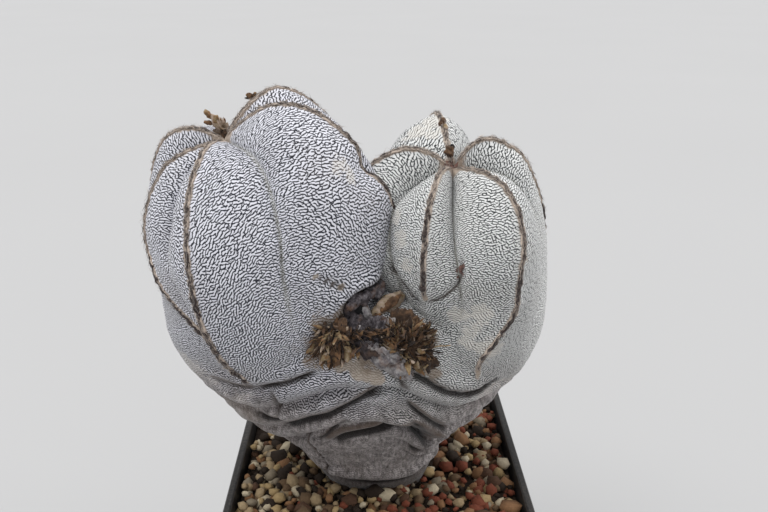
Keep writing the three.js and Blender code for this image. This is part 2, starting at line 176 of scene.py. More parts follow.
class Bench:
    """a material being made: adds nodes and joins them to its principled shader"""

    def __init__(self, name, **fixed):
        self.material = bpy.data.materials.new(name)
        self.material.use_nodes = True
        self.tree = self.material.node_tree
        self.shader = self.tree.nodes["Principled BSDF"]
        for socket, value in fixed.items():
            self.shader.inputs[socket.replace("_", " ")].default_value = value

    def node(self, kind, settings, inputs, output=0):
        """adds one node: its settings first, then its sockets, each a number or a wire"""
        made = self.tree.nodes.new(kind)
        for key, value in settings.items():
            setattr(made, key, value)
        for key, value in inputs.items():
            if isinstance(value, Wire):
                self.tree.links.new(value.socket, made.inputs[key])
            else:
                made.inputs[key].default_value = value
        return Wire(self, made.outputs[output])

    def set(self, **links):
        """joins wires to the shader's sockets"""
        for socket, wire in links.items():
            self.tree.links.new(wire.socket, self.shader.inputs[socket.replace("_", " ")])
        return self.material

    def place(self):
        """the point's place on the object, in metres"""
        return self.node("ShaderNodeTexCoord", {}, {}, "Object")

    def attribute(self, name):
        """a number stored on the points of the mesh"""
        return self.node("ShaderNodeAttribute", {"attribute_name": name}, {}, "Fac")

    def part(self, vector, axis):
        """one number of a vector, where axis is X, Y or Z"""
        return self.node("ShaderNodeSeparateXYZ", {}, {0: vector}, axis)

    def noise(self, vector, size, detail=2.0, rough=0.5):
        """cloudy noise between 0 and 1 with clouds about `size` across, in the vector's unit"""
        values = {"Vector": vector, "Scale": 1.0 / size, "Detail": detail, "Roughness": rough}
        return self.node("ShaderNodeTexNoise", {}, values, "Fac")

    def mix(self, share, first, second, blend="MIX"):
        """colour `first` where share is 0 and `second` where it is 1"""
        settings = {"data_type": "RGBA", "blend_type": blend}
        return self.node("ShaderNodeMix", settings, {0: share, 6: first, 7: second}, 2)

    def ramp(self, share, stops, stepped=False):
        """a colour for each value: stops are (value, colour)"""
        made = self.tree.nodes.new("ShaderNodeValToRGB")
        made.color_ramp.interpolation = "CONSTANT" if stepped else "LINEAR"
        while len(made.color_ramp.elements) < len(stops):
            made.color_ramp.elements.new(0.5)
        for element, (value, colour) in zip(made.color_ramp.elements, stops):
            element.position = value
            element.color = colour
        self.tree.links.new(share.socket, made.inputs["Fac"])
        return Wire(self, made.outputs["Color"])

    def bump(self, height, distance, strength=1.0):
        """a normal for a relief of `height` (0 to 1) that is `distance` metres deep"""
        values = {"Height": height, "Distance": distance, "Strength": strength}
        return self.node("ShaderNodeBump", {}, values)


def rgb(red, green, blue):
    """an opaque colour from three linear shares"""
    return (red, green, blue, 1.0)


print("the shader bench is ready")

# %% [markdown]
# ## Curves and unevenness
# Nothing on a plant is even. Nearly every body below is a grid of points worked out with numpy,
# and these helpers measure and bend it: directions of length one, the way along a line, an eased
# step, a smooth curve through a few measured values, and a cloudy unevenness built from random
# numbers at the corners of a lattice.

# %% Curves


def unit(vectors):
    """vectors divided by their own length"""
    return vectors / (np.linalg.norm(vectors, axis=-1, keepdims=True) + 1e-12)


def way_along(points, axis=0):
    """the length of the way to each point along one axis of a grid, with 0 at the first"""
    steps = np.linalg.norm(np.diff(points, axis=axis), axis=-1)
    start = np.zeros_like(np.take(steps, [0], axis=axis))
    return np.concatenate([start, np.cumsum(steps, axis=axis)], axis=axis)


def eased(low, high, x):
    """0 below low, 1 above high, and an S-shaped rise between"""
    t = np.clip((x - low) / (high - low), 0.0, 1.0)
    return t * t * (3.0 - 2.0 * t)


def through(xs, ys, x):
    """A smooth curve through the heights ys at the places xs, read at x. Its slope at each place
    is the weighted mean of the slopes beside it, and it is level at the last place."""
    xs, ys = np.asarray(xs, float), np.asarray(ys, float)
    step = np.diff(xs)
    slope = np.diff(ys) / step
    tangent = np.zeros_like(ys)
    tangent[0] = slope[0]
    tangent[1:-1] = (slope[:-1] * step[1:] + slope[1:] * step[:-1]) / (step[:-1] + step[1:])
    i = np.clip(np.searchsorted(xs, x, side="left") - 1, 0, len(xs) - 2)
    t = np.maximum(0.0, (x - xs[i]) / step[i])
    return (
        (2 * t**3 - 3 * t**2 + 1) * ys[i]
        + (t**3 - 2 * t**2 + t) * step[i] * tangent[i]
        + (-2 * t**3 + 3 * t**2) * ys[i + 1]
        + (t**3 - t**2) * step[i] * tangent[i + 1]
    )


def lattice_draw(cell, seed):
    """a fixed draw between -1 and 1 for each whole-numbered place (x, y, z)"""
    x, y, z = (cell[..., k].astype(np.uint64) for k in range(3))
    mixed = x * 374761393 + y * 668265263 + z * 2246822519 + np.uint64(seed * 97466863)
    mixed &= 0xFFFFFFFF
    mixed = ((mixed ^ (mixed >> 15)) * 2246822519) & 0xFFFFFFFF
    mixed = ((mixed ^ (mixed >> 13)) * 3266489917) & 0xFFFFFFFF
    mixed ^= mixed >> 16
    return mixed.astype(float) / 2147483648.0 - 1.0


def unevenness(points, size, seed, octaves=2):
    """Cloudy noise between about -1 and 1 at the points: draws at the corners of cubes `size`
    wide, blended with eased weights, plus the same at half the size and half the height."""
    total = np.zeros(points.shape[:-1])
    for octave in range(octaves):
        scaled = points / (size / 2**octave) + 17.3 * octave
        base = np.floor(scaled)
        t = scaled - base
        t = t * t * (3.0 - 2.0 * t)
        cell = base.astype(np.int64) + 4096
        value = 0.0
        for corner in np.ndindex(2, 2, 2):
            pick = np.array(corner)
            weight = np.prod(np.where(pick == 1, t, 1.0 - t), axis=-1)
            value = value + weight * lattice_draw(cell + pick, seed + octave)
        total += value / 2**octave
    return total


print("unevenness at the origin:", round(float(unevenness(np.zeros((1, 3)), 5.0, 1)[0]), 3))

# %% [markdown]
# ## From grids to closed bodies
# A cactus head is a stack of closed rings with a single point at each end, and so are the neck
# and the bed of grit. A ring stack gives even quads, keeps every point where its formula put it,
# and closes by itself.
# The felt pattern has to follow the ribs, so each rib gets its own flat map in millimetres.

# %% Ring stacks


def mesh_object(name, vertices, faces, material, smooth=True):
    """a new object from points in millimetres and lists of corner numbers"""
    mesh = bpy.data.meshes.new(name)
    mesh.from_pydata((np.asarray(vertices) * MM).tolist(), [], faces)
    mesh.polygons.foreach_set("use_smooth", np.full(len(mesh.polygons), smooth))
    mesh.materials.append(material)
    mesh.update()
    return add_object(name, mesh)


def give_attribute(piece, name, values):
    """stores one number per point under a name that a material can read"""
    layer = piece.data.attributes.new(name, "FLOAT", "POINT")
    layer.data.foreach_set("value", np.asarray(values, np.float32).ravel())


def ring_faces(rows, columns):
    """Corner numbers of a stack of rings (row 0 lowest, running anticlockwise seen from above):
    point 0 closes the lowest ring and the last point closes the highest."""
    row = np.arange(rows - 1)[:, None]
    column = np.arange(columns)[None, :]
    beside = (column + 1) % columns
    quads = np.stack(
        [
            1 + row * columns + column,
            1 + row * columns + beside,
            1 + (row + 1) * columns + beside,
            1 + (row + 1) * columns + column,
        ],
        axis=-1,
    ).reshape(-1, 4)
    column, beside = column[0], beside[0]
    last = 1 + rows * columns
    low = np.stack([np.zeros(columns, int), 1 + beside, 1 + column], axis=-1)
    high_start = 1 + (rows - 1) * columns
    high = np.stack([np.full(columns, last), high_start + column, high_start + beside], axis=-1)
    return quads.tolist() + low.tolist() + high.tolist()


def ring_body(name, rings, low, high, material, smooth=True):
    """a closed body from rings of points (rows, columns, 3) and its two end points"""
    rows, columns = rings.shape[:2]
    vertices = np.concatenate([np.reshape(low, (1, 3)), rings.reshape(-1, 3), np.reshape(high, (1, 3))])
    return mesh_object(name, vertices, ring_faces(rows, columns), material, smooth)


def give_map(piece, left, right):
    """Lays a map over a ring stack. left and right hold, for each row and each strip between two
    columns, the map place at the strip's left and right side (rows, columns, 2)."""
    rows, columns = left.shape[:2]
    quads = np.stack([left[:-1], right[:-1], right[1:], left[1:]], axis=2).reshape(-1, 2)
    middle = (left + right) / 2
    low = np.stack([middle[0], right[0], left[0]], axis=1).reshape(-1, 2)
    high = np.stack([middle[-1], left[-1], right[-1]], axis=1).reshape(-1, 2)
    layer = piece.data.uv_layers.new(name="flank")
    layer.uv.foreach_set("vector", np.concatenate([quads, low, high]).astype(np.float32).ravel())


print("faces of a stack of 3 rings of 4 points:", len(ring_faces(3, 4)))

# %% [markdown]
# ## The skin
# Onzuka felt is a coat of tiny white tufts. Dark skin shows between them as a maze of lines about
# a third of a millimetre wide and about one apart, long across the rib and crooked along it.
# A photograph of the pattern would be simplest, but a formula can be seen from any side. Gabor
# noise is a sum of short wave trains. Its phase gives lines of one width that fork and end as the
# real ones do. A second, wider and thinner set crosses the first and closes the maze to a net.
# It reads the flat map of the ribs, so the lines turn with the rib. They are wide apart beside the
# seam, narrow in the furrow, and they fade on the old corky skin further down.
# The colour is laid on in layers, as dirt and age lie on the plant: the felt and its lines, then
# age, then marks, with painted shade in the creases among them. Each layer has its own function and reads
# the same few numbers.

# %% Skin pattern
SKIN_NUMBERS = ("share", "age", "cork", "wool", "tint", "pale", "crease", "edge", "soil", "stain")
QUARTER_TURN = np.pi / 2


def lines(bench, chart, spacing, turn, cell, order):
    """0 in the middle of a line and 0.5 midway between two, for wave trains `cell` mm long"""
    values = {"Vector": chart, "Scale": 1.0 / cell, "Frequency": cell / spacing}
    values.update({"Anisotropy": order, 4: turn})
    return bench.node("ShaderNodeTexGabor", {"gabor_type": "2D"}, values, "Phase").fold(0.5)


def frayed(on, number, amount, low, high):
    """a stored number raised between low and high, with an edge that the specks make ragged"""
    return (number + on.ragged * amount * number.rise(0.02, 0.3)).rise(low, high)


def skin_readings(bench):
    """what the layers of the skin read: stored numbers, places in metres and two noises"""
    on = SimpleNamespace(**{name: bench.attribute(name) for name in SKIN_NUMBERS})
    on.place = bench.place()
    on.height = bench.part(on.place, "Z")
    on.low = 1.0 - on.height.rise(0.145, 0.190)
    on.clouds = bench.noise(on.place, 0.012, 2.0)
    on.specks = bench.noise(on.place, 0.0016, 3.0)
    on.ragged = on.specks - 0.5
    on.thick = frayed(on, on.pale, 2.475, 0.1875, 1.0)
    return on


def felt_maze(bench, on):
    """0 on the dark lines and 1 on the felt: the lesser of the main lines and their links"""
    chart = bench.node("ShaderNodeUVMap", {"uv_map": "flank"}, {})
    across = bench.part(chart, "X")
    # The lines climb away from the seam and level out towards the furrow.
    climb = 0.6 - 0.75 * on.share
    turn = QUARTER_TURN - across.sign() * climb + (on.clouds - 0.5) * 2.2
    # They lie closer together low down and on the greener head, but not at the back.
    behind = bench.part(on.place, "Y").rise(-0.022, 0.0)
    lower = 1.0 - on.height.rise(0.150, 0.212)
    spacing = 1.01 - 0.16 * on.share - 0.24 * lower - 0.20 * on.tint * (1.0 - behind)
    spacing = spacing + 0.10 * behind + (bench.noise(on.place, 0.006, 1.0) - 0.5) * 0.22
    spacing = spacing.most(0.68)
    wave = lines(bench, chart, spacing, turn, 1.7, 0.52)
    links = lines(bench, chart, spacing * 2.0, turn + QUARTER_TURN, 2.4, 0.30)
    # Felt closes over them beside the seam and where it is thick. At the far right the specks
    # break them up, and low down they are a little wider.
    beside_seam = (1.0 - across.size().rise(0.6, 3.0)) * on.height.rise(0.148, 0.166)
    closed = (on.thick * 0.30 + beside_seam * 0.26 + on.ragged * 0.22).most(0.0)
    far_right = bench.part(on.place, "X").rise(0.040, 0.053)
    wave = wave + closed * 0.2 + on.tint * 0.035 - on.low * 0.035 + far_right * on.specks * 0.22
    return wave.rise(0.145, 0.24).least((links + closed * 0.2).rise(0.025, 0.085))


print("numbers stored for the skin:", len(SKIN_NUMBERS))

# %% Skin colours


def felt_and_lines(bench, on, felt):
    """the felt over the lines: cool on one head and greener on the other, grey when old, with
    pale thick felt and tan cork in spots"""
    cool = bench.mix(on.clouds, rgb(0.85, 0.86, 0.94), rgb(0.72, 0.72, 0.77))
    green = bench.mix(on.clouds, rgb(0.88, 0.89, 0.86), rgb(0.78, 0.785, 0.74))
    coat = bench.mix(on.tint, cool, green)
    coat = bench.mix(on.low * 0.14, coat, rgb(0.50, 0.485, 0.465))
    coat = bench.mix(on.thick * 0.55, coat, rgb(0.72, 0.68, 0.61))
    old = bench.mix(on.clouds, rgb(0.45, 0.415, 0.40), rgb(0.31, 0.285, 0.28))
    coat = bench.mix(on.age, coat, old)
    line = bench.mix(on.age, rgb(0.019, 0.021, 0.032), rgb(0.050, 0.043, 0.040))
    line = bench.mix(on.tint * 0.6, line, rgb(0.036, 0.045, 0.034))
    line = bench.mix(on.thick * 0.5, line, rgb(0.23, 0.19, 0.155))
    corky = frayed(on, on.cork, 0.9, 0.1, 0.6)
    tan = bench.mix(on.specks, rgb(0.35, 0.29, 0.24), rgb(0.60, 0.53, 0.46))
    coat = bench.mix(corky, coat, tan)
    line = bench.mix(corky * 0.95, line, rgb(0.31, 0.26, 0.21))
    return bench.mix(felt, line, coat)


def aged(bench, on, colour):
    """old skin fades to grey-brown with blotches and upright streaks, and goes dark brown just above the
    grit
    """
    grey_brown = bench.mix(on.clouds, rgb(0.28, 0.256, 0.25), rgb(0.19, 0.172, 0.17))
    colour = bench.mix(on.age.rise(0.72, 1.0) * 0.6, colour, grey_brown)
    squeezed = {0: on.place, 1: (1.0, 1.0, 0.35)}
    upright = bench.node("ShaderNodeVectorMath", {"operation": "MULTIPLY"}, squeezed)
    blotches = bench.noise(on.place, 0.004, 5.0, 0.7).rise(0.3, 0.7)
    streaks = bench.noise(upright, 0.0009, 3.0, 0.7).rise(0.3, 0.7)
    blotch_shade = bench.mix(blotches, rgb(0.55, 0.53, 0.52), rgb(1.5, 1.5, 1.52))
    streak_shade = bench.mix(streaks, rgb(0.35, 0.34, 0.33), rgb(1.75, 1.75, 1.75))
    for young, old, shade in ((0.1, 0.7, blotch_shade), (0.5, 1.0, streak_shade)):
        shaded = bench.mix(1.0, colour, shade, "MULTIPLY")
        colour = bench.mix(on.age.rise(young, old) * 0.8, colour, shaded)
    # darker brown towards the foot, just above the grit
    near_grit = 1.0 - (on.height + (on.clouds - 0.5) * 0.004).rise(0.088, 0.098)
    return bench.mix(near_grit * 0.7, colour, rgb(0.05, 0.038, 0.03))


def marked(bench, on, colour):
    """furrows and their dark dots, wool, dirt, brown lips that are partly painted shade, painted shade in
    creases, soil and rust
    """
    furrow = on.share.rise(0.87, 1.0) * (1.0 - on.age) * on.height.rise(0.158, 0.176)
    furrow = furrow * (0.7 + 0.3 * on.tint)
    colour = bench.mix(furrow * 0.45, colour, rgb(0.47, 0.46, 0.37))
    dotted = furrow * on.specks.rise(0.50, 0.62) * (1.0 - on.height.rise(0.183, 0.200))
    colour = bench.mix(dotted * 0.75, colour, rgb(0.060, 0.052, 0.034))
    brown = bench.mix(on.specks, rgb(0.24, 0.17, 0.13), rgb(0.64, 0.54, 0.44))
    colour = bench.mix(frayed(on, on.wool, 0.7, 0.3, 0.75), colour, brown)
    dirt = bench.noise(on.place, 0.03, 4.0).rise(0.50, 0.75) * (0.12 + 0.30 * on.age)
    colour = bench.mix(dirt, colour, rgb(0.20, 0.15, 0.105))
    # brown lips: the band is partly the lip's own brown and partly painted shade round the crease
    lip = bench.mix(on.specks, rgb(0.055, 0.038, 0.028), rgb(0.145, 0.105, 0.082))
    brown_lip_and_shade = (on.edge * 1.1 + on.ragged * 0.45 * on.edge.rise(0.0, 0.3)).rise(0.15, 1.0)
    colour = bench.mix(brown_lip_and_shade * 0.85, colour, lip)
    # painted shade: near-black in the crease floors and under the lips
    colour = bench.mix(on.crease * 0.92, colour, rgb(0.012, 0.009, 0.008))
    soil = bench.mix(on.specks, rgb(0.09, 0.06, 0.04), rgb(0.31, 0.23, 0.155))
    colour = bench.mix(frayed(on, on.soil, 0.9, 0.2, 0.9) * 0.75, colour, soil)
    rust = bench.mix(on.specks.rise(0.35, 0.65), rgb(0.045, 0.016, 0.012), rgb(0.20, 0.085, 0.06))
    return bench.mix(frayed(on, on.stain, 3.0, 0.4, 0.65) * 0.9, colour, rust)


def felted_skin():
    """the felt, the dark maze, bare cork, wool stains and age, with a shallow felt relief"""
    bench = Bench(
        "felted_skin", Roughness=0.9, Sheen_Weight=0.25, Sheen_Roughness=0.5, Specular_IOR_Level=0.25
    )
    on = skin_readings(bench)
    felt = felt_maze(bench, on)
    colour = felt_and_lines(bench, on, felt)
    colour = marked(bench, on, aged(bench, on, colour))
    fibres = bench.noise(on.place, 0.0004, 2.0)
    smooth = (1.0 - 0.6 * on.age) * (1.0 - 0.8 * on.edge)
    relief = felt * 0.75 * smooth + fibres * 0.3 + on.specks * 0.35 * on.age
    return bench.set(Base_Color=colour, Normal=bench.bump(relief, 0.00028, 0.9))


skin = felted_skin()
print("skin nodes:", len(skin.node_tree.nodes))

# %% [markdown]
# ## The heads
# A head is a globe drawn in to five ribs. It could be sculpted, but the measured ribs are few
# numbers: each ridge and furrow has an azimuth at the crown, the waist and the foot, and a
# distance from the head's middle at eight angles from the crown. Between ridge and furrow the
# flank is a quarter round mixed with a straight slope, so the rib is full and the furrow narrow.

# %% Measured heads
STATIONS = (0, 12, 28, 55, 90, 120, 150, 180)
LEFT_HEAD = {
    "middle": (-33.0, -3.0, 175.5),
    "lean_right": -18.0,
    "lean_front": 6.0,
    "crown": 32.5,
    "foot": 46.0,
    "turn": (66.0, 110.0),
    "seam_ends": (108, 132, 118, 120, 120),
    "tint": 0.0,
    "lines": (
        ("ridge", (-80, -74, -31), (33.8, 36, 35.5, 35, 41, 46)),
        ("furrow", (-52, -50, -28.5), (31, 31, 30, 33, 40, 45)),
        ("ridge", (-25, -24, -26), (34.5, 34.8, 35.5, 38.5, 42, 45)),
        ("furrow", (34, 17, 10), (32, 33.5, 33, 34.5, 41, 46)),
        ("ridge", (82, 76, 75), (37, 42.5, 42.3, 38.8, 40, 44)),
        ("furrow", (112, 112, 112), (32, 34, 34, 32, 34, 40)),
        ("ridge", (133, 138, 140), (37.2, 43.8, 44.5, 42, 38, 42)),
        ("furrow", (185, 185, 185), (31, 32, 33, 33, 36, 44)),
        ("ridge", (240, 240, 245), (37.5, 41.5, 42, 40, 45.5, 55)),
        ("furrow", (262, 266, 280), (31, 32, 32, 33.5, 46, 56)),
    ),
}
RIGHT_HEAD = {
    "middle": (25.3, -2.6, 169.0),
    "lean_right": -7.5,
    "lean_front": 13.0,
    "crown": 30.5,
    "foot": 46.0,
    "turn": (86.0, 122.0),
    "seam_ends": (80, 124, 110, 118, 112),
    "tint": 0.75,
    "lines": (
        ("ridge", (-28, -28, -28), (34.5, 34.5, 30, 27.5, 31, 40)),
        ("furrow", (-10, -6, -12), (27, 25.5, 25, 26, 34, 44)),
        ("ridge", (45, 24, 0), (32.5, 34, 32.5, 30.5, 36, 44)),
        ("furrow", (72, 58, 40), (30, 31, 28, 26, 32, 42)),
        ("ridge", (97, 97, 97), (38, 37.5, 30.5, 27.5, 29, 40)),
        ("furrow", (150, 160, 160), (28, 27, 25, 26, 30, 42)),
        ("ridge", (182, 202, 202), (35, 43, 40, 34, 34, 44)),
        ("furrow", (232, 232, 232), (31, 35, 33, 28, 28, 36)),
        ("ridge", (258, 258, 258), (37, 39.7, 37, 32, 30, 34)),
        ("furrow", (285, 312, 325), (28, 28.5, 28, 25, 27, 36)),
    ),
}
HEAD_ROWS = 230
FLANK_COLUMNS = 28
RIB_STRAIGHTNESS = 0.25
print("ribs:", sum(kind == "ridge" for kind, _, _ in LEFT_HEAD["lines"]), "on each head")

# %% Head surface


def head_axes(head):
    """the head's own directions: up through the crown, to the viewer, and to the viewer's right"""
    lean = np.radians([head["lean_right"], head["lean_front"]])
    up = unit(np.array([np.tan(lean[0]), -np.tan(lean[1]), 1.0]))
    front = np.array([0.0, -1.0, 0.0])
    front = unit(front - front.dot(up) * up)
    return up, front, np.cross(up, front)


def head_columns():
    """Steps from one line to the next, 0 to 1: even steps mixed with a half cosine, so that they
    are closer together beside the ridge and beside the furrow."""
    t = np.arange(FLANK_COLUMNS) / FLANK_COLUMNS
    return 0.6 * t + 0.4 * (0.5 - 0.5 * np.cos(np.pi * t))


def head_grid(head):
    """Works out the head's skin for angles from 0 (crown) to 180 degrees (foot). Returns the
    points (rows, columns, 3), the share of the way from ridge to furrow, and the angles."""
    angle = np.linspace(0.0, 180.0, HEAD_ROWS + 2)[1:-1]
    lower = eased(*head["turn"], angle)
    upper = eased(20.0, 90.0, angle)
    kinds = [kind for kind, _, _ in head["lines"]]
    measured = [(head["crown"], *reaches, head["foot"]) for _, _, reaches in head["lines"]]
    reach = np.stack([through(STATIONS, reaches, angle) for reaches in measured])
    azimuth = np.stack(
        [a[0] + (a[1] - a[0]) * upper + (a[2] - a[1]) * lower for _, a, _ in head["lines"]]
    )
    reach = np.concatenate([reach, reach[:1]])
    azimuth = np.concatenate([azimuth, azimuth[:1] + 360.0])
    steps = head_columns()
    share, span, where = [], [], []
    for i, kind in enumerate(kinds):
        from_ridge = steps if kind == "ridge" else 1.0 - steps
        ridge, furrow = (reach[i], reach[i + 1]) if kind == "ridge" else (reach[i + 1], reach[i])
        full_rib = 0.75 * np.sqrt(1.0 - from_ridge**2) + RIB_STRAIGHTNESS * (1.0 - from_ridge)
        rise = (ridge - furrow)[:, None]
        flat_rib = 1.0 - eased(0.0, 1.0, from_ridge)
        span.append(furrow[:, None] + rise * np.where(rise > 0.0, full_rib, flat_rib))
        where.append(azimuth[i][:, None] + (azimuth[i + 1] - azimuth[i])[:, None] * steps[None, :])
        share.append(np.broadcast_to(from_ridge, (len(angle), len(steps))))
    span, where, share = (np.concatenate(part, axis=1) for part in (span, where, share))
    return place_on_head(head, angle[:, None], where, span), share, angle


def place_on_head(head, angle, azimuth, reach):
    """the point at a polar angle and azimuth (degrees) and a distance from the head's middle"""
    up, front, right = head_axes(head)
    a, z = np.radians(angle), np.radians(azimuth)
    along = (reach * np.cos(a))[..., None] * up
    ahead = (reach * np.sin(a) * np.cos(z))[..., None] * front
    aside = (reach * np.sin(a) * np.sin(z))[..., None] * right
    return np.array(head["middle"]) + along + ahead + aside


left_points, _, _ = head_grid(LEFT_HEAD)
print("left head spans (mm):", np.round(np.ptp(left_points.reshape(-1, 3), axis=0), 1))

# %% [markdown]
# ### Flat maps for the ribs
# The pattern must neither stretch nor slide, so every rib has its own map: how far a point lies
# from the ridge, measured along the skin, and how far down the ridge its row lies. The maps meet
# in the furrows, where the real pattern breaks too. Each map is set far from the others so that
# no two ribs get the same lines.

# %% Rib maps
RIB_APART = 400.0


def rib_map(points, first_map):
    """For each strip between two columns, the map place at its left and right side: the signed
    distance from its rib's ridge, and the arc length down that ridge (rows, columns, 2).
    Also returns each column's distance from the ridge and from the furrow."""
    columns = points.shape[1]
    run = way_along(np.concatenate([points, points[:, :1]], axis=1), 1)
    strip = np.arange(columns)
    flank = strip // FLANK_COLUMNS
    ridge_column = (flank + 1) // 2 * 2 * FLANK_COLUMNS
    furrow_column = np.where(flank % 2 == 0, flank + 1, flank) * FLANK_COLUMNS
    down = way_along(points)[:, ridge_column % columns]
    down = down + RIB_APART * (ridge_column // FLANK_COLUMNS) + first_map
    left = np.stack([run[:, strip] - run[:, ridge_column], down], axis=-1)
    right = np.stack([run[:, strip + 1] - run[:, ridge_column], down], axis=-1)
    from_furrow = np.abs(run[:, strip] - run[:, furrow_column])
    return left, right, np.abs(left[..., 0]), from_furrow


print("widest half rib (mm):", round(float(rib_map(left_points, 0.0)[2].max()), 1))

# %% [markdown]
# ### Relief, age and cork
# Ribs have a low keel that carries the seam, notches where the woolly areoles sit, short pleats
# that run into the furrows, and soft dents. Age is a number that grows towards the neck: the felt
# goes grey-brown and the lines fade. Bare tan cork shows in a few worn places. These numbers are
# stored on the points and the skin material reads them.

# %% Worn places
# middle and radius of each, and for a dent also its height
CORK_SPOTS = (
    ((-9.3, -35.5, 151.0), 3.6),
    ((-6.0, -36.0, 148.8), 3.8),
    ((-3.4, -36.4, 147.3), 2.8),
    ((-1.2, -35.8, 146.2), 2.4),
    ((-16.3, -35.0, 176.5), 0.9),
    ((-10.0, -32.0, 171.9), 1.0),
)
SOIL_SPOTS = (
    ((-13.5, -34.0, 157.0), 9.5),
    ((9.0, -32.5, 154.5), 10.0),
    ((-10.0, -31.5, 163.8), 3.6),
    ((14.5, -34.0, 146.5), 4.5),
    ((-1.0, -34.5, 152.0), 5.5),
)
PALE_SPOTS = (
    ((-10.4, -22.6, 202.7), 3.6),
    ((-7.3, -22.0, 198.9), 3.0),
    ((23.4, -27.6, 161.0), 4.4),
    ((25.4, -28.9, 157.0), 4.0),
    ((28.2, -30.2, 163.0), 4.2),
    ((31.4, -29.9, 151.0), 5.0),
    ((24.4, -28.8, 153.0), 3.4),
    ((6.1, -21.5, 181.2), 3.4),
    ((7.8, -24.2, 174.5), 3.0),
    ((5.4, -18.0, 187.0), 2.4),
    ((12.1, 4.3, 206.2), 4.5),
    ((16.5, 4.2, 207.7), 6.0),
    ((36.0, -22.0, 128.0), 9.0),
    ((-53.0, -17.0, 141.0), 10.0),
    ((-41.0, -25.0, 131.5), 6.0),
)
STAINS = (
    ((22.4, -28.0, 174.2), 1.2),
    ((22.9, -28.4, 175.8), 0.9),
    ((21.9, -28.0, 172.4), 0.7),
    ((21.3, -8.7, 199.5), 2.3),
    ((-18.0, -35.2, 170.0), 0.8),
    ((19.4, 3.5, 208.7), 1.2),
    ((20.7, -5.5, 202.5), 1.0),
)
DENTS = (
    ((-4.5, -17.5, 200.0), 4.5, -1.2),
    ((-1.6, -11.5, 200.8), 4.0, -3.0),
    ((2.4, -11.5, 190.0), 6.5, 1.0),
    ((0.5, -17.0, 189.0), 8.0, 1.9),
    ((-1.0, -24.0, 175.0), 7.0, 0.8),
)


def near_spots(points, spots, seed):
    """1 in the middle of a worn place and 0 outside it, with a ragged edge"""
    most = np.zeros(points.shape[:-1])
    ragged = 1.0 + 0.45 * unevenness(points, 4.0, seed, 3)
    for middle, radius in spots:
        away = np.linalg.norm(points - np.array(middle), axis=-1) / (radius * ragged)
        most = np.maximum(most, 1.0 - eased(0.35, 1.25, away))
    return most


def worn_numbers(points, seeds):
    """the numbers of the worn places, by the names that the skin material reads"""
    kinds = {"cork": CORK_SPOTS, "stain": STAINS, "pale": PALE_SPOTS, "soil": SOIL_SPOTS}
    return {name: near_spots(points, kinds[name], seed) for name, seed in zip(kinds, seeds)}


def dented(points, out):
    """pushes soft dents in and bulges out: height·exp(-(distance/radius)²)"""
    for middle, radius, height in DENTS:
        away = np.linalg.norm(points - np.array(middle), axis=-1) / radius
        points = points + out * (height * np.exp(-(away**2)))[..., None]
    return points


def skin_age(points):
    """0 on the young heads and 1 on the old neck, by height, with an uneven border. At the back
    the border is rougher and lies six millimetres lower."""
    behind = eased(-20.0, 10.0, points[..., 1])
    height = points[..., 2] + (5.0 + 3.5 * behind) * unevenness(points, 13.0, 31) + 6.0 * behind
    return np.clip(1.16 - eased(118.0, 152.0, height) - 0.16 * eased(126.0, 156.0, height), 0.0, 1.0)


print("worn places:", len(CORK_SPOTS), "pale places:", len(PALE_SPOTS), "stains:", len(STAINS))

# %% [markdown]
# ### Creases
# The skin has sunk under the weight of the heads, and each roll hangs a little over the next.
# Sculpting would do it by hand. Here every crease was followed in the picture from left to right
# and laid on the body as a line of measured points. Near a line the skin dives in, swells to a
# lip above it and slides down over it. The same rule serves the heads and the neck, so that a
# crease that runs from one to the other stays in one piece.

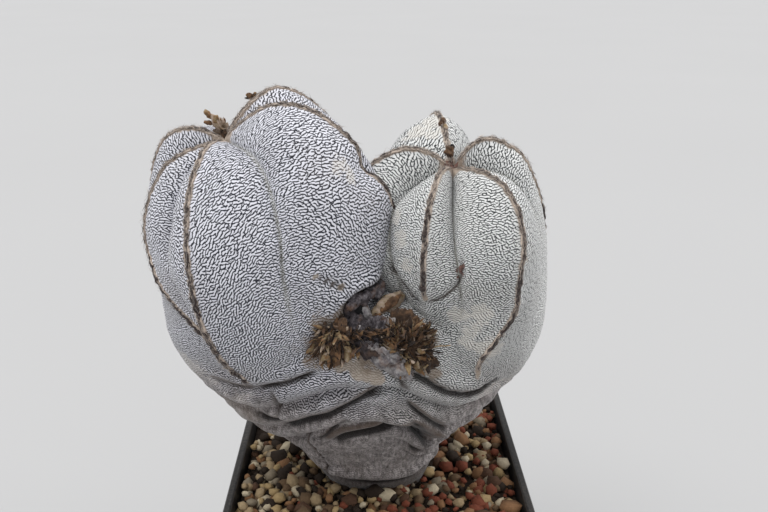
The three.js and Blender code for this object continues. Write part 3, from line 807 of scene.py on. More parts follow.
# %% Creases
# points from left to right, depth, lip, overhang, height of the brown edge above it
CREASES = (
    (
        ((-52.5, -20, 139.0), (-48.7, -23, 138.7), (-44.8, -25.3, 138.8), (-39.8, -27.6, 138.4),
         (-34.5, -30, 139.9)),
        1.3, 0.9, 0.3, 2.0,
    ),
    (
        ((-36.5, -29.2, 139.2), (-31.7, -31.2, 141.4), (-26.3, -33, 143.7), (-21, -34.3, 146.5),
         (-17, -35.4, 148.8)),
        1.9, 1.1, 0.7, 0.6,
    ),
    (
        ((-32.2, -31, 140.4), (-30.5, -31.6, 136.9), (-30, -27.4, 130.6), (-29.1, -27.7, 127.7)),
        2.0, 0.9, 0.0, 0.6,
    ),
    (
        ((-38.9, -22.2, 126.5), (-34.3, -25.1, 126.3), (-30.2, -27.4, 126.6), (-27.6, -26.8, 125.4),
         (-23.9, -28.3, 127.3), (-19.5, -30.3, 129.8), (-15.3, -31.5, 131.8), (-12, -32.4, 134.3),
         (-7.9, -33.2, 137.1), (-3.9, -33.8, 139.8), (-0.7, -33.1, 140.7), (1.7, -32.3, 141)),
        2.4, 1.5, 1.0, 1.3,
    ),
    (
        ((-15.4, -23.1, 115.3), (-13.5, -25.3, 118.6), (-10, -26.4, 120.9), (-6.6, -26.7, 121.9),
         (-2.8, -26.7, 122.8), (1.4, -26.4, 124), (5.4, -27.6, 125.6), (8.7, -27.2, 125.6),
         (11.7, -25.2, 122.5), (15.0, -20.3, 116.2), (17.3, -16.8, 109.5)),
        3.6, 2.0, 1.0, 3.0,
    ),
    (
        ((-20.7, -21.7, 116), (-17.9, -23.6, 117.8), (-15.2, -26, 121.6), (-12.1, -29.5, 126.7),
         (-8.8, -31.7, 130.5)),
        1.5, 0.8, 0.3, 0.0,
    ),
    (
        ((-12.4, -10.7, 91.5), (-9.1, -11.7, 92.7), (-5.3, -12.6, 92.8), (-0.7, -13.2, 92.6),
         (4, -12.6, 92.8), (8.8, -11.1, 92.8), (12.7, -8.7, 92.4)),
        2.6, 1.4, 0.9, 0.0,
    ),
    (
        ((7, -35, 145.3), (9.4, -34.2, 146.4), (13.5, -32.6, 143.8), (18.4, -30.6, 139.4),
         (22.6, -28.6, 136.7), (26.9, -26.6, 135.1), (31.9, -24.0, 135.6), (36.1, -23.7, 138.2)),
        2.2, 1.2, 1.0, 1.0,
    ),
    (
        ((5.3, -35.2, 147.4), (6.2, -34.6, 144.4), (7.1, -32.6, 140.9), (7.3, -31.4, 137.9)),
        2.0, 0.9, 0.0, 0.5,
    ),
    (
        ((7.2, -31.4, 137.1), (9.4, -31.0, 134.2), (13.7, -27.7, 128.6), (17.4, -23.4, 123),
         (20.2, -20.1, 118.6)),
        2.0, 1.3, 0.6, 1.2,
    ),
    (
        ((7.4, -29.6, 129.5), (10.9, -28.1, 126.9), (14, -25.7, 122.6), (17.4, -20.6, 115.6)),
        1.7, 1.1, 0.5, 1.0,
    ),
    (((9, -19.8, 111.9), (12.9, -17.1, 107.2), (15.3, -15.3, 105.1)), 1.4, 0.8, 0.3, 0.0),
    (
        ((-9.1, -31, 163.6), (-8.5, -30.9, 166.6), (-7.5, -30.2, 167.7), (-5.8, -28.9, 168.5),
         (-4.2, -27.4, 168.8), (-2.3, -25.2, 168.8), (0, -21.2, 168.3)),
        3.0, 1.3, 1.0, 0.5,
    ),
    (
        ((-17.3, -35.4, 177.2), (-16.3, -35, 176.5), (-13.8, -34, 174.8), (-10.8, -32.5, 172.4),
         (-7.9, -30.6, 170.3)),
        0.7, 0.6, 0.2, 0.3,
    ),
    (
        ((3.5, -18.6, 174.7), (4.6, -19.1, 171.8), (5.7, -20.5, 169.6), (7.9, -22.7, 167.1),
         (9.8, -24, 164.6), (11.6, -26.2, 163.8)),
        1.6, 0.7, 0.0, 0.0,
    ),
    (
        ((11.6, -26.6, 164.2), (13.8, -27.6, 164.8), (16.8, -27.9, 166.1), (19.6, -28.3, 168.4),
         (21.9, -28.0, 170.9), (22.7, -28.2, 174.9), (22.4, -27.7, 179)),
        0.6, 0.4, 0.2, 0.2,
    ),
    (
        ((-25.2, -24.8, 121.5), (-23.0, -20.9, 115.8), (-20.4, -18.0, 109.9),
         (-18.5, -15.6, 104.3), (-16.8, -13.2, 98.3), (-15.0, -10.0, 91.5)),
        1.7, 0.8, 0.0, 0.0,
    ),
)
CREASE_STEP = 0.7
CREASE_REACH = 9.0


def crease_line(corners):
    """a smooth line through measured points, in small steps, with its direction and its run"""
    corners = np.array(corners, float)
    run = way_along(corners)
    even = np.linspace(0.0, run[-1], int(run[-1] / CREASE_STEP) + 2)
    path = np.stack([through(run, corners[:, k], even) for k in range(3)], axis=1)
    return path, unit(np.gradient(path, axis=0)), even


def creased(points, out):
    """Moves skin points by every crease; also returns, for each point, a painted shade for a crease's floor
    and a brown band that is partly the lip's own brown and partly painted shade round the line. At a height
    s above the line the skin sinks by depth·exp(-s/0.8), below it by depth·exp(s/(0.8+0.15·depth)), swells
    by lip·exp(-((s-2.6)/2)²) and slides down by hang·exp(-(s/2)²). All of it fades at the line's ends and
    away from the skin. The floor's painted shade and the brown band are bell curves of s of the same kind."""
    moved = points.copy()
    floor, brown = np.zeros((2, *points.shape[:-1]))
    for corners, depth, lip, hang, edge in CREASES:
        path, ahead, run = crease_line(corners)
        lowest, highest = path.min(axis=0) - CREASE_REACH, path.max(axis=0) + CREASE_REACH
        near = np.all((points > lowest) & (points < highest), axis=-1)
        place, normal = points[near], out[near]
        if len(place) == 0:
            continue
        gaps = place[:, None] - path[None]
        closest = np.argmin(np.sum(gaps**2, axis=-1), axis=1)
        gap = gaps[np.arange(len(place)), closest]
        forward = ahead[closest]
        upward = unit(np.cross(normal, forward))
        s = np.sum(gap * upward, axis=1)
        at = run[closest] + np.sum(gap * forward, axis=1)
        skin_deep = 1.0 - eased(5.0, CREASE_REACH, np.abs(np.sum(gap * normal, axis=1)))
        share = eased(-0.5, 4.5, at) * eased(-0.5, 4.5, run[-1] - at) * skin_deep
        above = s > 0.0
        sunk = np.where(above, np.exp(-np.abs(s) / 0.8), np.exp(-np.abs(s) / (0.8 + 0.15 * depth)))
        swell = np.exp(-(((s - 2.6) / 2.0) ** 2)) * above
        slide = np.exp(-((s / 2.0) ** 2)) * eased(-0.3, 0.3, s)
        push = (lip * swell - depth * sunk) * share
        moved[near] += normal * push[:, None] - upward * (hang * slide * share)[:, None]
        # painted shade: dark covers the lip's underside and the crease floor below it, down past the part
        # that the overhang hides
        beyond = np.maximum(-s - 0.6 * hang - 0.45 * depth * min(1.0, hang), 0.0)
        dark = np.where(above, np.exp(-((s / 0.5) ** 2)), np.exp(-((beyond / (0.2 + 0.17 * depth)) ** 2)))
        dark = dark * share * min(1.0, 0.35 + depth / 3.0)
        # the brown band: rim is the lip's own brown above the line; the band that fades away from the line
        # on both sides is painted shade
        rim = (1.0 - eased(0.6 * edge, 1.3 * edge + 0.1, s)) * above if edge else 0.0
        shade = np.maximum(np.exp(-np.abs(s) / (0.4 + 0.4 * depth)), rim) * share
        floor[near] = np.maximum(floor[near], dark)
        brown[near] = np.maximum(brown[near], shade)
    return moved, floor, brown


longest = max(crease_line(crease[0])[2][-1] for crease in CREASES)
print("creases:", len(CREASES), "longest (mm):", round(longest, 1))

# %% Head relief
AREOLE_PITCH = 3.4
PLEAT_PITCH = 3.1
SKIN_BACK = 0.45
POLE_BACK = 0.6
SEAM_HALF_WIDTH = 1.15
RIGHT_HEAD_MAP = 5000.0


def rib_relief(points, angle, from_ridge, from_furrow, down, seed):
    """How far the skin stands out, in millimetres: a keel 0.40·exp(-(away/1.1)²) on the ridge,
    notches 0.12·cos(2·pi·down/pitch) beside it, pleats 0.16·sin(2·pi·down/pitch + unevenness)
    that fade away from the furrow, and soft dents. All of it is calm at the crown."""
    keel = 0.40 * np.exp(-((from_ridge / 1.1) ** 2))
    notch = 0.12 * np.cos(2 * np.pi * down / AREOLE_PITCH) * np.exp(-((from_ridge / 2.2) ** 2))
    pleat_turn = 2 * np.pi * down / PLEAT_PITCH + 2.5 * unevenness(points, 7.0, seed + 5)
    pleat = 0.16 * np.sin(pleat_turn) * np.exp(-from_furrow / 3.5) * eased(0.0, 2.0, from_furrow)
    dents = 0.55 * unevenness(points, 17.0, seed) + 0.16 * unevenness(points, 5.0, seed + 9)
    calm = eased(0.0, 14.0, angle)[:, None]
    return (keel + notch + pleat) * calm + dents * (0.3 + 0.7 * calm) - SKIN_BACK


def dressed_head(name, head, first_map, seed):
    """the head's skin as an object, with its map and the numbers that its material reads;
    returns the skin's points, which the seams lie on"""
    points, share, angle = head_grid(head)
    left_side, right_side, from_ridge, from_furrow = rib_map(points, first_map)
    middle = np.array(head["middle"])
    out = unit(points - middle)
    down = left_side[..., 1] % RIB_APART
    relief = rib_relief(points, angle, from_ridge, from_furrow, down, seed)
    points = dented(points + out * relief[..., None], out)
    # crease holds the painted shade of the crease floors; edge holds the brown lip band, partly painted
    # shade
    points, crease, edge = creased(points, out)
    up = head_axes(head)[0]
    crown = middle + up * (head["crown"] - POLE_BACK)
    foot = middle - up * (head["foot"] - POLE_BACK)
    piece = ring_body(name, points[::-1], foot, crown, skin)
    give_map(piece, left_side[::-1], right_side[::-1])
    age = skin_age(points)
    rib = (np.arange(age.shape[1]) // FLANK_COLUMNS + 1) // 2 % len(head["seam_ends"])
    woolly = 1.0 - eased(0.0, 8.0, angle[:, None] - np.array(head["seam_ends"])[rib])
    seam = np.exp(-((from_ridge / SEAM_HALF_WIDTH) ** 2)) * (1.0 - 0.5 * age) * woolly
    crown_wool = 1.0 - eased(2.0, 11.0, np.broadcast_to(angle[:, None], age.shape))
    numbers = {
        "share": np.minimum(share, np.clip(1.0 - from_furrow / 12.0, 0.0, 1.0)),
        "age": age,
        "wool": np.maximum(seam * 0.9, crown_wool),
        "tint": np.full(age.shape, head["tint"]),
        "crease": crease,
        "edge": edge,
        **worn_numbers(points, (seed + 3, seed + 4, seed + 6, seed + 7)),
    }
    poles = {"age": (1.0, 0.0), "wool": (0.0, 1.0)}
    for number, grid in numbers.items():
        at_foot, at_crown = poles.get(number, (0.0, 0.0))
        give_attribute(piece, number, np.concatenate([[at_foot], grid[::-1].ravel(), [at_crown]]))
    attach(piece, "root")
    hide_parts("cactus")
    print(name, len(piece.data.polygons), "faces")
    return points


left_skin = dressed_head("left_head", LEFT_HEAD, 0.0, 41)
right_skin = dressed_head("right_head", RIGHT_HEAD, RIGHT_HEAD_MAP, 61)

# %% [markdown]
# ## The neck
# The old neck has sunk under the weight of the heads into rolls of corky skin, lifted together at
# the front right like cloth held at one point. It is a stack of ovals whose reach to the left,
# right, front and back was measured at twelve heights, and each crease pushes the skin in along a
# line and out above it as a lip.

# %% Measured neck
NECK_LEVELS = (62, 78, 84, 90, 96, 102, 108, 115, 123, 132, 142, 152)
NECK_LEFT = (-13, -17, -19, -22, -25, -28.5, -35, -45, -53, -57.5, -61.5, -61)
NECK_RIGHT = (12, 16, 17.5, 19.5, 21, 23.5, 28, 35, 41.5, 45.5, 45, 40)
NECK_FRONT = (-8, -9.5, -10.5, -13, -16, -18.5, -21, -24, -28, -32, -35, -36)
NECK_BACK = (14, 17, 18, 19.5, 21, 23, 26, 29, 31.5, 33, 33, 31)
NECK_TOP = 152.0
NECK_DOME = 14.0
NECK_LAST_ROW = 165.4
FORK_POINT = (-7.0, -2.0)
NECK_OVALNESS = 0.94
FOLD_LIFT = 14.0
FOLD_PEAK = 6.0
# level, depth, width, azimuth, half span, tilt
FOLDS = (
    (94, 2.6, 1.5, 5, 85, 0),
    (126, 4.0, 1.9, 0, 75, 0),
    (142, 2.8, 1.6, 0, 85, 0),
    (134, 1.8, 1.4, 45, 32, 0),
    (118, 1.8, 1.3, 42, 30, 0),
    (133, 1.8, 1.3, -38, 24, 3),
)
FINE_FOLDS = (
    (110, 1.0, 0.9, 38, 22, -4),
    (105, 0.8, 0.8, 44, 18, -5),
    (124, 0.9, 0.8, 52, 16, 4),
    (129, 0.9, 0.8, 30, 12, 5),
    (101, 0.6, 0.7, -32, 20, 3),
    (108, 0.7, 0.8, -40, 20, 4),
    (116, 0.8, 0.8, -48, 22, 5),
    (121, 0.8, 0.8, 60, 20, -3),
    (139, 0.6, 0.8, -58, 18, 2),
    (98, 0.7, 0.9, 150, 60, 3),
    (107, 0.9, 1.1, 170, 70, -3),
    (116, 0.9, 1.1, 190, 80, 4),
)
print("folds:", len(FOLDS) + len(FINE_FOLDS))

# %% Neck surface
NECK_ROWS = 220
NECK_COLUMNS = 340
NECK_FOOT = NECK_LEVELS[0]
NECK_MAP = (300.0, 12000.0)
NECK_SHARE = 0.45


def fold_relief(level, azimuth, folds):
    """How far the folds push the skin: each is a crease exp(-|above/width|^1.3) pushed in, and
    half as much lip pushed out above it, fading with exp(-(away/span)^4) round the neck."""
    relief = np.zeros(np.broadcast(level, azimuth).shape)
    for place, depth, width, at, span, tilt in folds:
        away = (azimuth - at + 540.0) % 360.0 - 180.0
        above = level - place - tilt * away / span
        nearby = np.exp(-((away / span) ** 4))
        crease = np.exp(-(np.abs(above / width) ** 1.3))
        lip = np.exp(-(((above / width - 2.3) / 1.6) ** 2))
        relief = relief + depth * nearby * (0.5 * lip - crease)
    return relief


def neck_grid(folds=FOLDS + FINE_FOLDS):
    """points of the neck (rows, columns, 3) for even azimuths and for levels that lie close
    together where the folds are; the top fourteen millimetres close as a dome"""
    even = np.linspace(0.0, 1.0, NECK_ROWS)[:, None]
    gathered = even + 0.05 * np.sin(2 * np.pi * even)
    level = NECK_FOOT + (NECK_LAST_ROW - NECK_FOOT) * gathered
    azimuth = np.linspace(-180.0, 180.0, NECK_COLUMNS, endpoint=False)[None, :]
    lift = np.clip((level - NECK_TOP) / NECK_DOME, 0.0, 1.0)
    shrink = np.sqrt(1.0 - lift**2)
    lifted = eased(94.0, 128.0, level) * (1.0 - eased(146.0, 164.0, level))
    aside = np.where(
        azimuth < FOLD_PEAK,
        eased(0.0, 48.0, FOLD_PEAK - azimuth),
        eased(0.0, 30.0, azimuth - FOLD_PEAK),
    )
    height = level - FOLD_LIFT * lifted * aside
    capped = np.minimum(height, NECK_TOP)
    west, east, front, back = (
        through(NECK_LEVELS, side, capped) for side in (NECK_LEFT, NECK_RIGHT, NECK_FRONT, NECK_BACK)
    )
    relief = fold_relief(level, azimuth, folds)
    turn = np.radians(azimuth)
    across, along = np.sin(turn), -np.cos(turn)
    x = np.sign(across) * np.abs(across) ** NECK_OVALNESS
    y = np.sign(along) * np.abs(along) ** NECK_OVALNESS
    points = np.stack(
        [
            (west + east) / 2 + ((east - west) / 2 + relief) * x * shrink,
            (front + back) / 2 + ((back - front) / 2 + relief) * y * shrink,
            height,
        ],
        axis=-1,
    )
    return points, level


def dressed_neck():
    """The neck with fine wrinkles, its map and the numbers that the skin material reads. The map
    is measured on the neck without folds, so that the pattern runs through them."""
    points, level = neck_grid()
    axis = np.array([(NECK_LEFT[3] + NECK_RIGHT[3]) / 2, 3.0, 0.0])
    out = unit((points - axis) * np.array([1.0, 1.0, 0.0]))
    stretched = points * np.array([0.35, 0.35, 1.0])
    wrinkle = 0.4 * unevenness(stretched, 2.4, 71, 2) + 0.5 * unevenness(points, 9.0, 75, 2)
    sides = 1.0 - eased(150.0, 158.0, level)
    points = points + out * ((wrinkle - 0.35) * sides)[..., None]
    # crease holds the painted shade of the crease floors; edge holds the brown lip band, partly painted
    # shade
    points, crease, edge = creased(points, out)
    foot = ((NECK_LEFT[0] + NECK_RIGHT[0]) / 2, (NECK_FRONT[0] + NECK_BACK[0]) / 2, NECK_FOOT)
    fork = np.array([*FORK_POINT, NECK_TOP + NECK_DOME])
    piece = ring_body("neck", points, foot, fork, skin)
    plain = neck_grid(folds=())[0]
    closed = np.concatenate([plain, plain[:, :1]], axis=1)
    run = way_along(closed, 1)
    run = run - run[:, NECK_COLUMNS // 2][:, None] + NECK_MAP[0]
    chart = np.stack([run, way_along(closed) + NECK_MAP[1]], axis=-1)
    give_map(piece, chart[:, :-1], chart[:, 1:])
    shape = points.shape[:-1]
    numbers = {
        "share": np.full(shape, NECK_SHARE),
        "age": skin_age(points),
        "wool": np.zeros(shape),
        "tint": RIGHT_HEAD["tint"] * eased(-15.0, 15.0, points[..., 0]),
        "crease": crease,
        "edge": edge,
        **worn_numbers(points, (77, 78, 79, 80)),
    }
    for number, grid in numbers.items():
        give_attribute(piece, number, np.concatenate([[grid[0, 0]], grid.ravel(), [grid[-1, 0]]]))
    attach(piece, "root")
    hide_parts("cactus")
    print("neck", len(piece.data.polygons), "faces")


dressed_neck()

# %% [markdown]
# ## Woolly seams
# On each ridge the areoles, where the flowers come from, run together into a seam of matted brown
# wool: a low flat pad with a few crooked cords on it, dark knots at the areoles, hairs that lie
# along it and pale fuzz at its sides, darker further down. Hair curves would be heavy, so the
# cords are thin closed tubes of five sides laid along the ridge, and each hair is a bristle of
# three sides.

# %% Wool material


def matted_wool(name, dark, pale, size):
    """brown wool: streaks and specks between two colours, set per strand by the attribute tone"""
    bench = Bench(name, Roughness=0.95, Sheen_Weight=0.35, Sheen_Roughness=0.6, Specular_IOR_Level=0.15)
    place = bench.place()
    tone = bench.attribute("tone")
    specks = bench.noise(place, size, 4.0, 0.75)
    fibres = bench.noise(place, size / 3.0, 1.0)
    share = (tone * 0.75 + (specks - 0.5) * 2.2).rise(0.0, 1.0)
    colour = bench.mix(share, dark, pale)
    relief = fibres * 0.5 + specks * 0.5
    return bench.set(Base_Color=colour, Normal=bench.bump(relief, 0.0002, 0.8))


seam_wool = matted_wool("seam_wool", rgb(0.030, 0.016, 0.013), rgb(0.66, 0.55, 0.46), 0.0008)
print("seam wool nodes:", len(seam_wool.node_tree.nodes))

# %% Tubes and bristles
CORD_SIDES = 5


def tube(path, out, across, width, height, sides=CORD_SIDES):
    """Points and faces of a closed tube along a path: at each place an oval of the given half
    width (along `across`) and half height (along `out`), with a point closing each end."""
    turn = np.arange(sides) * 2 * np.pi / sides
    rings = (
        path[:, None]
        + np.cos(turn)[None, :, None] * across[:, None] * width[:, None, None]
        + np.sin(turn)[None, :, None] * out[:, None] * height[:, None, None]
    )
    ahead = np.cross(across[0], out[0])
    if np.dot(ahead, path[1] - path[0]) < 0:
        rings = rings[:, ::-1]
    vertices = np.concatenate([path[:1], rings.reshape(-1, 3), path[-1:]])
    return vertices, ring_faces(len(path), sides)


def joined(name, parts, material, tones, smooth=True):
    """one object from many (vertices, faces) bodies, with a tone for each body or its points"""
    vertices, faces, tone, first = [], [], [], 0
    for (points, corners), value in zip(parts, tones):
        vertices.append(points)
        faces.extend([[c + first for c in face] for face in corners])
        tone.append(np.broadcast_to(value, len(points)))
        first += len(points)
    piece = mesh_object(name, np.concatenate(vertices), faces, material, smooth)
    give_attribute(piece, "tone", np.concatenate(tone))
    return piece


def resampled(path, pitch, *others):
    """the same path, and the same rows of each other array, at even steps of `pitch`"""
    run = way_along(path)
    even = np.arange(0.0, run[-1], pitch)
    lists = (path, *others)
    return [np.stack([np.interp(even, run, a[:, k]) for k in range(3)], axis=1) for a in lists]


ones = np.ones((4, 3))
print("tube of 4 places:", len(tube(np.eye(4, 3), ones, ones, ones[:, 0], ones[:, 0])[0]), "points")

# %% Seams
SEAM_STEP = 0.6
SEAM_FIRST_ROW = 3
PAD_SIDES = 8
KNOT_SIDES = 6
KNOT_PITCH = AREOLE_PITCH * 1.5
CORDS = 6
BRAIDED_CORDS = 2
HAIRS_PER_MM = 17.0


def bristle(root, way, length, radius):
    """a three-sided spike from a root point: vertices and faces, closed"""
    side = unit(np.cross(way, [0.3, 0.8, 0.52]))
    other = np.cross(way, side)
    turn = np.arange(3) * 2 * np.pi / 3
    ring = root - way * 0.15 + radius * (np.cos(turn)[:, None] * side + np.sin(turn)[:, None] * other)
    vertices = np.concatenate([ring, [root + way * length]])
    return vertices, [[2, 1, 0], [0, 1, 3], [1, 2, 3], [2, 0, 3]]


def per_ring(values, sides):
    """one value per ring of a tube, repeated for the tube's points and its two ends"""
    return np.concatenate([values[:1], np.repeat(values, sides), values[-1:]])


def measured_seam(points, head, rib, end_angle):
    """One ridge's line at even steps: its places, the directions across it and out of the skin,
    the way s along it, a taper towards both ends, and in patches how old its wool is, 0 to 1."""
    rows, columns = points.shape[:2]
    column = rib * 2 * FLANK_COLUMNS
    span = slice(SEAM_FIRST_ROW, int(rows * end_angle / 180.0))
    path = points[span, column]
    across = unit(points[span, (column + 1) % columns] - points[span, column - 1])
    out = unit(np.cross(across, unit(np.gradient(path, axis=0))))
    flip = np.sign(np.sum(out * (path - np.array(head["middle"])), axis=1))[:, None]
    path, across, out = resampled(path, SEAM_STEP, across, out * flip)
    s = np.arange(len(path)) * SEAM_STEP
    taper = 0.3 + 0.7 * eased(0.0, 4.0, s) * eased(0.0, 5.0, s[-1] - s)
    old = eased(0.22, 0.80, s / s[-1])
    old = old * (0.10 + 0.95 * eased(-0.35, 0.30, unevenness(path, 4.2, 170 + rib, 2)))
    across, out = unit(across), unit(out)
    return SimpleNamespace(rib=rib, path=path, across=across, out=out, s=s, taper=taper, old=old)


def seam_pad(seam):
    """a low flat tube with a rough edge, paler at its sides than along its middle"""
    rough = unevenness(seam.path, 2.6, 90 + seam.rib, 3)
    width = (0.68 + 0.34 * rough + 0.14 * seam.old) * seam.taper
    height = (0.22 + 0.10 * rough) * seam.taper
    rounds = np.abs(np.cos(np.arange(PAD_SIDES) * 2 * np.pi / PAD_SIDES))
    tones = (0.40 - 0.25 * seam.old + 0.7 * rough)[:, None] + 0.95 * rounds
    body = tube(seam.path + seam.out * 0.02, seam.out, seam.across, width, height, PAD_SIDES)
    return body, np.concatenate([tones[:1, 0], tones.ravel(), tones[-1:, 0]])


def seam_cords(seam, rng):
    """thin tubes that wander along the ridge; the first two loop round each other"""
    path, s, old = seam.path, seam.s, seam.old
    swing = 2.0 * unevenness(path, 6.0, 150 + seam.rib)
    for strand in range(CORDS):
        phase = rng.uniform(0, 2 * np.pi)
        braided = strand < BRAIDED_CORDS
        loops = (0.42 if strand else -0.42) * (1.0 + 0.6 * old) * np.sin(np.pi * s / 2.7 + swing)
        wander = loops if braided else 0.7 * np.sin(2 * np.pi * s / rng.uniform(6.0, 13.0) + phase)
        drift = 200 + 10 * seam.rib + (0 if braided else strand)
        wander = (wander + 0.4 * unevenness(path, 4.0, drift)) * seam.taper
        lift = 0.18 + 0.14 * old * braided + 0.10 * np.cos(2 * np.pi * s / rng.uniform(4.0, 7.0) + phase)
        cord = path + seam.across * wander[:, None] + seam.out * (lift * seam.taper)[:, None]
        shown = 0.7 + 1.1 * unevenness(cord, 3.2, 300 + 10 * seam.rib + strand, 3)
        thick = np.clip((0.12 + 0.21 * old * braided) * shown, 0.03, 0.55) * seam.taper
        tone = rng.uniform(0.2, 0.8) * (1.0 - 0.6 * old) - 0.7 * old * braided
        yield tube(cord, seam.out, seam.across, thick, thick), per_ring(tone, CORD_SIDES)


def seam_knots(seam, rng):
    """short humped tubes near the areoles, fatter and darker further down"""
    end = seam.s[-1]
    for place in np.arange(rng.uniform(5.0, 9.0), end - 1.0, KNOT_PITCH):
        at = int(np.clip(place + rng.uniform(-1.5, 1.5), 1.0, end - 1.0) / SEAM_STEP)
        span = slice(max(at - 2, 0), min(at + 3, len(seam.path)))
        path, across, out = seam.path[span], seam.across[span], seam.out[span]
        fat = rng.uniform(0.65, 1.1) * (0.35 + 0.9 * (seam.s[at] / end))
        hump = fat * np.array([0.3, 0.75, 1.0, 0.9, 0.4])[: len(path)]
        spot = path + across * rng.uniform(-0.3, 0.3) + out * 0.2
        body = tube(spot, out, across, hump, hump * 0.55, KNOT_SIDES)
        yield body, 0.25 - 0.25 * seam.s[at] / end


def seam_hairs(seam, rng):
    """bristles: half of them lie along the seam, and the others stand out at its sides"""
    along = unit(np.gradient(seam.path, axis=0))
    for place in rng.uniform(0.5, seam.s[-1] - 1.0, int(seam.s[-1] * HAIRS_PER_MM)):
        i = int(place / SEAM_STEP)
        path, across, out = seam.path[i], seam.across[i], seam.out[i]
        side = rng.choice((-1.0, 1.0))
        if rng.uniform() < 0.5:
            way = unit(along[i] * side + rng.normal(0.0, 0.22, 3) + out * 0.08)
            beside = rng.normal(0.0, 0.36)
            root = path + across * beside + out * rng.uniform(0.12, 0.36)
            body = bristle(root, way, rng.uniform(1.2, 3.0), 0.085)
            tone = 0.22 + 1.8 * abs(beside) + rng.uniform(-0.3, 0.35) - 0.45 * seam.old[i]
        else:
            way = unit(across * side + out * rng.uniform(0.0, 1.0) + rng.normal(0.0, 0.5, 3))
            root = path + across * (side * rng.uniform(0.1, 0.6)) + out * 0.05
            body = bristle(root, way, rng.uniform(0.3, 0.9), 0.035)
            tone = rng.uniform(1.0, 1.7) - 0.3 * seam.old[i]
        yield body, tone


print("hairs on 10 mm of seam:", round(10 * HAIRS_PER_MM))

# %% Dressed seams


def dressed_seams(name, head, points, seed):
    """all the seams of one head as one piece: each has its pad, cords, knots and hairs"""
    rng = np.random.default_rng(seed)
    bodies = []
    for rib, end_angle in enumerate(head["seam_ends"]):
        seam = measured_seam(points, head, rib, end_angle)
        bodies.append(seam_pad(seam))
        for strands in (seam_cords, seam_knots, seam_hairs):
            bodies.extend(strands(seam, rng))
    parts, tones = zip(*bodies)
    piece = joined(name, parts, seam_wool, tones)
    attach(piece, "root")
    print(name, len(piece.data.polygons), "faces")


dressed_seams("left_seams", LEFT_HEAD, left_skin, 5)
dressed_seams("right_seams", RIGHT_HEAD, right_skin, 6)

# %% [markdown]
# ## Dried flowers and scar tissue
# After flowering the petals stay as crumpled brown paper, matted with fibres on a dark core. In
# the fork they lie on grey, crumpled scar tissue round an old hole, with a woody orange split
# beside it. A blade is a thin closed body that narrows to both ends. A tuft is a seeded heap of
# blades that follow one flow, crushed together by one wrinkle field, as paper is in a fist.

# %% Paper and scar materials


def dry_paper():
    """papery petals: orange to dark brown by the attribute tone, with fine veins"""
    bench = Bench("dry_petals", Roughness=0.85, Sheen_Weight=0.1, Specular_IOR_Level=0.25)
    place = bench.place()
    tone = bench.attribute("tone")
    specks = bench.noise(place, 0.0020, 4.0, 0.65)
    share = (tone + (specks - 0.5) * 1.1).rise(-0.1, 1.1)
    stops = (
        (0.0, rgb(0.014, 0.009, 0.008)),
        (0.3, rgb(0.065, 0.038, 0.023)),
        (0.52, rgb(0.15, 0.083, 0.045)),
        (0.64, rgb(0.22, 0.118, 0.055)),
        (0.8, rgb(0.29, 0.215, 0.115)),
        (1.0, rgb(0.48, 0.375, 0.30)),
    )
    colour = bench.ramp(share, stops)
    relief = bench.noise(place, 0.0006, 2.0)
    return bench.set(Base_Color=colour, Normal=bench.bump(relief, 0.0003, 0.8))


def grey_scar():
    """corky tissue: black to purplish grey to pale by the attribute tone, with brown stains; its black also
    paints the shade of the old hole
    """
    bench = Bench("grey_scar", Roughness=0.75, Specular_IOR_Level=0.35)
    place = bench.place()
    tone = bench.attribute("tone")
    specks = bench.noise(place, 0.0012, 4.0, 0.7)
    clouds = bench.noise(place, 0.004, 2.0)
    stops = (
        (0.0, rgb(0.004, 0.004, 0.005)),
        (0.3, rgb(0.055, 0.045, 0.050)),
        (0.6, rgb(0.17, 0.155, 0.165)),
        (1.0, rgb(0.44, 0.42, 0.41)),
    )
    colour = bench.ramp((tone + (specks - 0.5) * 1.3 * tone.rise(0.0, 0.3)).rise(-0.05, 1.05), stops)
    colour = bench.mix(clouds.rise(0.5, 0.72) * 0.65 * tone.rise(0.1, 0.4), colour, rgb(0.16, 0.085, 0.045))
    return bench.set(Base_Color=colour, Normal=bench.bump(specks, 0.0008, 0.9))


petals = dry_paper()
scar = grey_scar()
print("petal nodes:", len(petals.node_tree.nodes), "scar nodes:", len(scar.node_tree.nodes))

# %% Petals and lumps
PETAL_STATIONS = 8
PETAL_SIDES = 6
BROAD_PETALS = 9
LUMP_ROWS = 26
LUMP_COLUMNS = 36


def petal(root, way, face, length, width, bend, curl):
    """A closed blade from `root` along `way`: half width w·sin(pi·t)^0.7, six points round a thin
    oval; it bends towards `face` with the square of t and curls its edges up by `curl`."""
    t = np.linspace(0.0, 1.0, PETAL_STATIONS)
    side = unit(np.cross(way, face))
    face = np.cross(side, way)
    middle = root + np.outer(t * length, way) + np.outer(bend * length * t**2, face)
    half = width * np.clip(np.sin(np.pi * (0.12 + 0.85 * t)), 0.05, None) ** 0.7
    turn = np.arange(PETAL_SIDES) * 2 * np.pi / PETAL_SIDES
    u, h = np.cos(turn), np.sin(turn) * 0.13
    rings = (
        middle[:, None]
        + (half[:, None] * u)[..., None] * side
        + (h[None, :] * width + curl * half[:, None] * u**2)[..., None] * face
    )
    if np.dot(np.cross(side, face), way) < 0:
        rings = rings[:, ::-1]
    vertices = np.concatenate([middle[:1] - way * 0.1, rings.reshape(-1, 3), middle[-1:] + way * 0.2])
    return vertices, ring_faces(PETAL_STATIONS, PETAL_SIDES)


def wrinkled(points, size, height, seed):
    """moves points by three separate wrinkle fields, one for each direction"""
    push = [unevenness(points, size, seed + k, 2) for k in range(3)]
    return points + height * np.stack(push, axis=-1)


